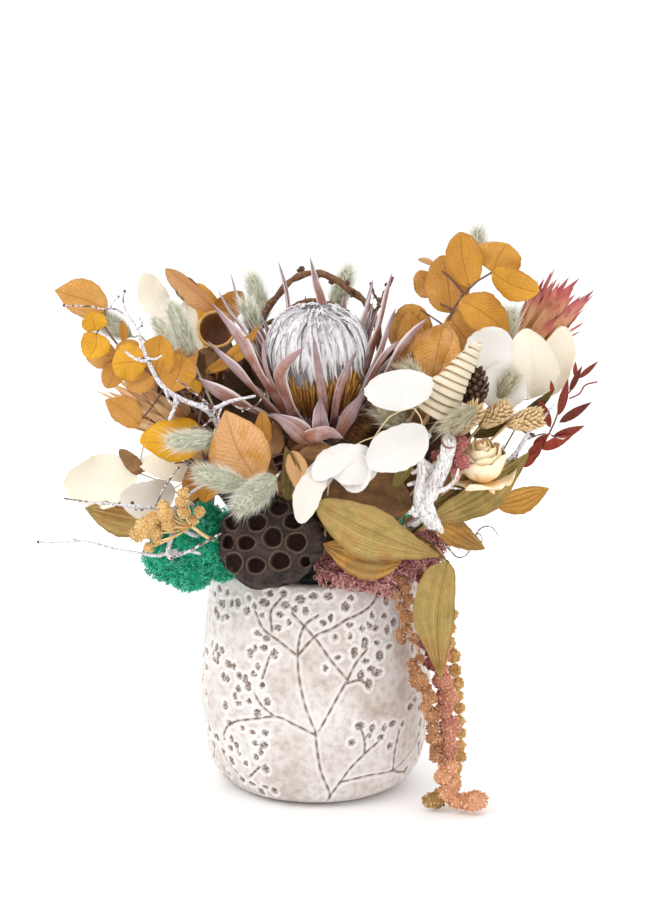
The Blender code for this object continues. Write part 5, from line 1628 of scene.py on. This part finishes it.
# Each twig: where it enters the foam, its stem, and its branches.
TWIGS = {
    "twig_upper_left": (
        (-33, -18), ((-48, -60, 214), (-58, -76, 244), (-66, -78, 252)),
        (
            (
                (
                    (-34, -84, 259, 1), (-48, -84, 256, 1.2), (-58, -80, 251, 1.9), (-66, -78, 252, 2.1),
                    (-80, -79, 258, 2), (-89, -79, 266, 1.9), (-96, -79, 280, 1.7), (-99, -78, 289, 1.5),
                    (-101, -78, 297, 1.3), (-106, -77, 304, 0.8), (-109, -76, 312, 0.6),
                    (-108, -76, 318, 0.5),
                ),
                60, 9,
            ),
            (
                (
                    (-104, -78, 302, 0.8), (-114, -72, 307, 0.8), (-122, -70, 307, 0.75),
                    (-129, -68, 308, 0.7), (-144, -64, 308, 0.5),
                ),
                30, 6,
            ),
            (((-117, -70, 307, 0.4), (-115, -70, 311, 0.35), (-112, -70, 314, 0.35)), 8, 5),
            (((-96, -82, 279, 1.4), (-101, -84, 280, 1.1), (-108, -85, 285, 0.9)), 14, 7),
            (((-96, -80, 280, 1.2), (-91, -82, 280, 0.9), (-87, -82, 282, 0.7)), 12, 7),
            (((-80, -80, 258, 1.6), (-80, -86, 253, 1.5), (-83, -88, 246, 1.5)), 14, 8),
            (((-86, -80, 263, 1), (-83, -85, 256, 0.9), (-79, -86, 253, 0.7)), 12, 6),
            (((-60, -79, 252, 1.1), (-70, -84, 262, 0.9), (-79, -86, 269, 0.6)), 16, 6),
            (((-101, -78, 297, 1), (-98, -80, 300, 0.9), (-100, -80, 304, 0.6)), 10, 6),
            (((-52, -80, 255, 1), (-55, -86, 246, 0.9), (-48, -88, 240, 0.8), (-42, -86, 246, 0.5)), 18, 6),
            (
                ((-50, -81, 256, 0.9), (-42, -86, 252, 0.8), (-34, -88, 254, 0.6), (-28, -88, 262, 0.4)),
                16, 6,
            ),
            (((-56, -80, 252, 1), (-62, -86, 243, 0.8), (-70, -88, 241, 0.5)), 12, 6),
        ),
    ),
    "twig_lower_left": (
        (-38, -30), ((-60, -60, 168), (-74, -80, 178), (-81, -84, 190)),
        (
            (
                ((-81, -85, 194, 2.6), (-82, -86, 181, 2), (-85, -87, 168, 1.9), (-83, -88, 164, 1.7)), 24,
                10,
            ),
            (((-84, -88, 165, 1.3), (-72, -92, 170, 1.1), (-54, -94, 181, 0.9)), 22, 7),
            (((-83, -88, 166, 1.2), (-72, -90, 169, 1.1), (-66, -92, 168, 1.2)), 14, 7),
            (((-81, -85, 193, 1.8), (-75, -84, 199, 1.3), (-66, -84, 206, 1), (-52, -84, 213, 0.7)), 24, 8),
            (((-80, -85, 194, 2), (-72, -86, 197, 1.6), (-68, -88, 192, 1)), 14, 8),
            (
                (
                    (-82, -84, 192, 1.6), (-93, -82, 193, 1.4), (-105, -82, 194, 1.4),
                    (-117, -81, 195, 1.2), (-129, -81, 196, 0.9), (-145, -80, 198, 0.6),
                ),
                36, 8,
            ),
            (
                (
                    (-80, -84, 168, 1.7), (-92, -84, 165, 1.5), (-104, -84, 167, 1.1), (-118, -82, 169, 1),
                    (-130, -80, 172, 0.9), (-140, -78, 172, 0.9), (-150, -77, 171, 0.7),
                    (-161, -76, 171, 0.5),
                ),
                50, 8,
            ),
            (((-92, -84, 194, 0.5), (-86, -88, 207, 0.9), (-78, -88, 218, 0.4)), 16, 6),
            (((-82, -86, 184, 0.9), (-90, -88, 182, 0.6), (-94, -90, 183, 0.4)), 12, 6),
        ),
    ),
    "twig_right": (
        (46, -1), ((96, -30, 196), (108, -56, 208), (111, -58, 213)),
        (
            (
                (
                    (109, -56, 208, 1.8), (111, -58, 213, 1.9), (118, -58, 221, 1.8), (122, -58, 228, 1.6),
                    (126, -58, 235, 1.2), (131, -58, 239, 1), (139, -58, 249, 0.6),
                ),
                34, 9,
            ),
            (
                (
                    (120, -58, 225, 1.1), (126, -57, 229, 0.8), (135, -56, 231, 0.6), (144, -56, 228, 0.5),
                    (148, -56, 230, 0.35),
                ),
                22, 6,
            ),
            (((112, -58, 214, 1), (108, -62, 220, 0.7), (110, -62, 226, 0.4)), 12, 6),
            (
                (
                    (66, -30, 158, 0.5), (76, -46, 162, 0.6), (80, -50, 159, 0.7), (84, -50, 155, 0.7),
                    (89, -48, 155, 0.6), (92, -48, 160, 0.5), (88, -50, 163, 0.5), (85, -48, 159, 0.4),
                ),
                40, 6,
            ),
            (
                (
                    (90, -48, 158, 0.5), (93, -48, 166, 0.6), (97, -49, 169, 0.6), (99, -48, 164, 0.5),
                    (95, -47, 159, 0.5), (92, -46, 162, 0.4),
                ),
                30, 6,
            ),
            (((94, -48, 166, 0.5), (98, -48, 172, 0.6), (104, -48, 173, 0.5), (109, -48, 167, 0.3)), 20, 6),
        ),
    ),
}


# All wood is drawn with this share of its radii, and twigs with this share of that again.
WOOD_THINNER = 0.92
TWIG_THINNER = 0.8
# On the two left twigs, a branch whose last radius is below this ends in a bud.
BUD_BELOW = 0.6


def branch(route, radii, count, sides, rough, random, ridge=0, tone=0):
    """A woody rod, thicker and thinner along its route, with a bumpy surface that ridges wind round."""
    path = smooth(route, count)
    thick = WOOD_THINNER * np.interp(np.linspace(0, 1, count), np.linspace(0, 1, len(radii)), radii)
    tone = tone + 0.35 * np.clip(1.1 - thick, 0, 0.7)
    made = rod(path, thick, sides, tone=np.append(np.repeat(tone, sides), (tone[0], tone[-1])))
    body = made["points"][: count * sides].reshape(count, sides, 3)
    angle = np.linspace(0, 2 * np.pi, sides, endpoint=False)[None, :] + np.linspace(0, 3, count)[:, None]
    swell = ridge * (np.sin(3 * angle) + 0.6 * np.sin(5 * angle + 1))
    swell += random.normal(0, rough, (count, sides))
    body += (body - path[:, None]) * swell[..., None]
    return made


def wood_finish(name, paint, shadow, bare, scale, drawn_out=1):
    """Painted bark: chalky paint with painted shade in its cracks, painted highlights, and bare bark where
    a bud breaks it.
    """
    made, tree, shader = finish(name, 0.85)
    where = node(tree, "ShaderNodeTexCoord", out="Object")
    where = node(tree, "ShaderNodeVectorMath", {0: where, 1: (1, 1, drawn_out)}, operation="MULTIPLY")
    tone = read_marks(tree, "tone")[0]
    look = {"Vector": where, "Scale": scale, "Detail": 6, "Roughness": 0.7}
    flakes = node(tree, "ShaderNodeTexNoise", look)
    look = {"Vector": where, "Scale": scale * 3.1, "Detail": 3, "Distortion": 1.2}
    cracks = node(tree, "ShaderNodeTexNoise", look)
    # Stops of painted shade, paint and painted highlight, scattered by the cracks noise.
    stops = ((0.38, shadow), (0.5, paint), (0.7, "#f7f6f6"))
    painted = node(tree, "ShaderNodeValToRGB", {"Fac": cracks}, stops)
    wear = node(tree, "ShaderNodeMath", {0: tone, 1: 0.6, 2: flakes}, operation="MULTIPLY_ADD")
    worn = node(tree, "ShaderNodeMapRange", {"Value": wear, "From Min": 0.62, "From Max": 0.7})
    cover(tree, shader, painted, ((worn, bare),), cracks, 0.8, 0.0008)
    return made


# Thin white paint over red-brown bark, its flakes 2 to 4 mm long.
white_wood = wood_finish("twig_painted_white", "#e4e0e3", "#958b91", "#64443a", 330)
# The root: the same paint over lighter brown wood, its flakes 5 mm across and drawn out upwards.
root_wood = wood_finish("root_painted_grey_white", "#ebe6e3", "#b5aca7", "#8f6448", 200, 0.3)
wood_random = np.random.default_rng(44)
driftwood = [rod(stem_points((26, -31), [(44, -52, 170), (58, -70, 182), (64, -79, 190)], 18), 1.4, 7)]
for line, count, sides in DRIFTWOOD:
    line = np.array(line, float)
    look = dict(ridge=0.17, tone=-0.1)
    driftwood.append(branch(line[:, :3], line[:, 3], count, sides, 0.04, wood_random, **look))
# Knots and broken-off snags on the trunk.
trunk = smooth(np.array(DRIFTWOOD[0][0], float)[:, :3], 50)
for number in range(16):
    centre = trunk[int(wood_random.uniform(0, 1) * 46)]
    away = unit(wood_random.normal(0, 1, 3) * (1, 1, 0.4) - (0, 0.5, 0))
    knot = centre + away * wood_random.uniform(3.6, 5)
    driftwood.append(lump(knot, wood_random.uniform(0.8, 1.8), 1.5, number, rows=7, sides=10, rough=0.2))
for number in range(9):
    centre = trunk[wood_random.integers(8, 44)]
    away = unit(wood_random.normal(0, 1, 3) - (0.2, 0.5, 0.1))
    snag = centre + away * wood_random.uniform(6.5, 9) + (0, 0, -2)
    driftwood.append(spike(centre + away * 3.8, snag, 0.8))
# The sawn end at the top: a ring of bark, pale wood inside it and its brown pith.
cut = turned((76.6, -83, 232.5), (77.4, -85.6, 234.5))
for outline, sides, tone in (
    (((-3, 3.8), (-0.6, 4.7), (0.3, 4.9), (0.5, 4.3)), 20, 0.9),
    (((-1, 4), (0.9, 4)), 20, -1),
    (((-0.5, 1.5), (1.5, 1.4)), 12, 2),
):
    driftwood.append(turned_shape(cut, outline, sides, tone=tone))
place(build("driftwood_whitewashed", driftwood, root_wood), "white_wood", "driftwood")
for name, (entry, stem, branches) in TWIGS.items():
    parts = [branch(stem_points(entry, stem, 30), (1.6, 1.4, 1.6), 30, 8, 0.05, wood_random)]
    for line, count, sides in branches:
        line = np.array(line, float)
        route, radii = line[:, :3], line[:, 3]
        look = dict(ridge=0.06, tone=wood_random.uniform(-0.1, 0.2))
        parts.append(branch(route, radii * TWIG_THINNER, count, sides, 0.08, wood_random, **look))
        path = smooth(route, count)
        for spot in wood_random.choice(np.arange(1, count - 1), min(count // 6, 5), replace=False):
            thick = np.interp(spot / count, np.linspace(0, 1, len(radii)), radii)
            bud = path[spot] + wood_random.normal(0, 0.6 * thick, 3)
            look = dict(rows=5, sides=6, tone=wood_random.uniform(0, 0.5))
            parts.append(lump(bud, thick * 0.8, thick * 0.9, spot, **look))
        if radii[-1] < BUD_BELOW and name != "twig_right":
            parts.append(lump(path[-1], radii[-1] * 1.6, radii[-1] * 2, 1, rows=5, sides=7, tone=0.9))
    place(build(name + "_painted", parts, white_wood), "white_wood", name)

# Yarrow and amaranth
# Dried yarrow in flat tan clusters, and amaranth whose tails of round knobbly bunches hang over the rim
# down to the table. The bunches are threaded on limp stems and covered in florets about 1.5 mm across.

# Middle and radius of each bunch, in mm.
YARROW_BUNCHES = (
    (-97, -89, 183, 6.2), (-102, -88, 179, 4.5), (-92, -90, 180, 4.2), (-93, -90, 188.5, 4.2),
    (-85.5, -91, 191, 4.9), (-84, -92, 185.5, 3.9), (-87, -90, 196, 3.2), (-76, -92, 199, 3.9),
    (-75, -92, 204, 3.2), (-75, -92, 193, 3.6), (-66, -92, 193, 3), (-95.5, -91, 171.5, 2.8),
    (-90.5, -92, 175.5, 2.2), (-69.5, -90, 187.5, 2.6),
)
TUFT_BUNCHES = (
    (84, -76, 230, 4.2), (81, -76, 224, 3.8), (84, -77, 219, 4.8), (78, -74, 229, 3.4), (76, -73, 224, 3.2),
    (80, -76, 215, 3), (70, -74, 222, 3),
)
TAN_BUNCHES = (
    (45, -62, 146, 3.6), (50, -63, 144, 3.4), (53, -64, 140, 3.4), (48, -64, 136, 3.2), (55, -64, 133, 3.2),
    (54, -64, 122, 4.1), (51, -64, 128, 2.8), (51, -64, 112, 3.2), (51, -64, 108, 2.7), (59, -65, 109, 2.7),
    (55, -65, 115, 2.6), (62, -66, 97, 2.5), (59, -67, 90, 3.6), (57, -66, 94, 2.6), (62, -67, 83, 5.4),
    (66, -67, 78, 3.4), (68, -67, 73, 4.3), (66, -66, 67, 3.4), (70, -66, 62, 4.7), (70, -66, 54, 3.8),
    (71, -66, 47, 4.6), (72, -66, 40, 3.4), (72, -66, 36, 3.7),
)
RED_BUNCHES = (
    (64, -52, 142, 3.6), (67, -52, 136, 3.8), (66, -54, 130, 4.4), (68, -53, 124, 3.6), (65, -55, 117, 5.2),
    (70, -54, 111, 3.8), (59, -55, 106, 2.8), (66, -55, 105, 5.2), (70, -55, 98, 4.2), (69, -56, 91, 4.2),
)
PINK_BUNCHES = (
    (76, -54, 95, 4.4), (75, -56, 88, 4), (76, -56, 80, 5.8), (79, -57, 70, 6.4), (77, -58, 62, 5.2),
    (81, -58, 52, 6.4), (79, -60, 45, 5.2), (80, -60, 39, 6.4), (80, -61, 28, 6), (77, -63, 22, 5.4),
    (82, -63, 17, 5.4), (80, -64, 12, 5.8), (85, -66, 7.4, 4.6), (90, -66, 7.4, 5), (95, -67, 7.8, 6.2),
    (98, -67, 8.4, 5.4),
)
GOLD_BUNCHES = (
    (78, -38, 140, 3.12), (80, -38, 132, 3.6), (80, -39, 124, 3.36), (82, -39, 116, 3.6),
    (81, -40, 108, 3.36), (81, -42, 99, 3.48), (83, -42, 91, 4.2), (84, -42, 82, 3.84), (86, -42, 74, 3.6),
    (86, -42, 66, 3.48), (87, -42, 58, 3.36), (87, -42, 50, 3.48), (88, -42, 42, 3.24), (88, -42, 34, 3.24),
    (88, -42, 27, 3.48), (86, -42, 20, 3.24), (85, -42, 14, 3.36),
)
FOOT_BUNCHES = ((73, -62, 6.8, 5), (69, -62, 6.4, 4.4), (75, -62, 11, 3.4))
# The terracotta tail fades to peach from this bunch down.
PEACH_FROM = 8

floret = build("floret", [lump((0, 0, 0.25), 0.85, 0.8, 1, rows=3, sides=4)])


def bunches(name, slot, cad_node, stems, balls, look, seed, density=2.9e5, smallest=0.75, largest=1.3):
    """Knobbly bunches on thin stems, covered in florets whose look is a name and three colours."""
    ground = [rod(smooth(route, 30), radius, 6, stem=1.0) for route, radius in stems]
    ground += [lump(b[:3], b[3], b[3] * 0.94, seed + n, rows=8, sides=12) for n, b in enumerate(balls)]
    made = build(name, ground)
    # Florets have no pale tips, so their colours lie lower on the scale than those of moss.
    material = moss_finish(*look, places=(0.1, 0.36, 0.62), grain=0.28)
    settings = {"Sprig": floret, "Density": density, "Seed": seed, "Finish": material}
    grow(made, Smallest=smallest, Largest=largest, Spread=0.5, Lean=(0.0, 0.0, 0.0), **settings)
    place(made, slot, cad_node)


def middles(balls):
    """The middles of the bunches, which a limp stem threads."""
    return [ball[:3] for ball in balls]


hub = (-71, -86, 183)
stems = [(stem_points((-31, -37), [(-60, -74, 172), hub]), 1.1)]
stems += [((hub, (np.add(hub, foot) / 2) + (0, -1, -1), foot), 0.6) for foot in middles(YARROW_BUNCHES)]
look = ("yarrow_floret_tan", "#a07a42", "#deb473", "#f9e2b0")
bunches("yarrow_dried_tan", "yarrow", "yarrow", stems, YARROW_BUNCHES, look, 51, 4.8e5, 0.6, 1.0)
hub = (82, -74, 214)
stems = [(stem_points((34, -28), [(80, -70, 204), hub]), 1.0)]
stems += [(((82, -74, 212), np.add(hub, foot) / 2, foot), 0.5) for foot in middles(TUFT_BUNCHES)]
look = ("amaranth_floret_rosy", "#80403e", "#bc6e68", "#eab4a4")
bunches("amaranth_tuft_rosy", "amaranth", "amaranth_tuft", stems, TUFT_BUNCHES, look, 52, 4e5, 0.65, 1.05)
tan_stem = stem_points((29, -40), [(40, -54, 160), *middles(TAN_BUNCHES)], 90)
look = ("amaranth_floret_tan", "#7d4e34", "#b8845c", "#e0b78c")
bunches("amaranth_tan_tail", "amaranth", "amaranth_tan", [(tan_stem, 0.7)], TAN_BUNCHES, look, 53)
# The long stem: crimson at the rim, then terracotta, peach at the table, a gold tail and an olive foot.
crimson_stem = stem_points((42, -27), [(58, -38, 160), (64, -46, 152), *middles(RED_BUNCHES)], 60)
long_parts = {
    "long_crimson": (
        crimson_stem, 1.0, RED_BUNCHES, ("amaranth_floret_crimson", "#5e2624", "#96504a", "#cf9482"), 54,
    ),
    "long_terracotta": (
        [(69, -56, 91), *middles(PINK_BUNCHES)], 1.0, PINK_BUNCHES[:PEACH_FROM],
        ("amaranth_floret_terracotta", "#955640", "#d3937a", "#f4c8ac"), 55,
    ),
    "long_peach": (
        middles(PINK_BUNCHES[PEACH_FROM:]), 1.0, PINK_BUNCHES[PEACH_FROM:],
        ("amaranth_floret_peach", "#ab6c48", "#e2a880", "#fbdcb6"), 58,
    ),
    "gold_tail": (
        [(62, -40, 161), (74, -38, 156), *middles(GOLD_BUNCHES)], 0.8, GOLD_BUNCHES,
        ("amaranth_floret_gold", "#a27a40", "#dcb070", "#f6d8a4"), 56,
    ),
    "foot_olive": (
        [(79, -63, 14), *middles(FOOT_BUNCHES)], 0.8, FOOT_BUNCHES,
        ("amaranth_floret_olive", "#77582e", "#b08a54", "#dcc08c"), 57,
    ),
}
for name, (route, radius, balls, look, seed) in long_parts.items():
    bunches("amaranth_" + name, "amaranth", "amaranth_long", [(route, radius)], balls, look, seed)
bpy.data.objects.remove(floret)
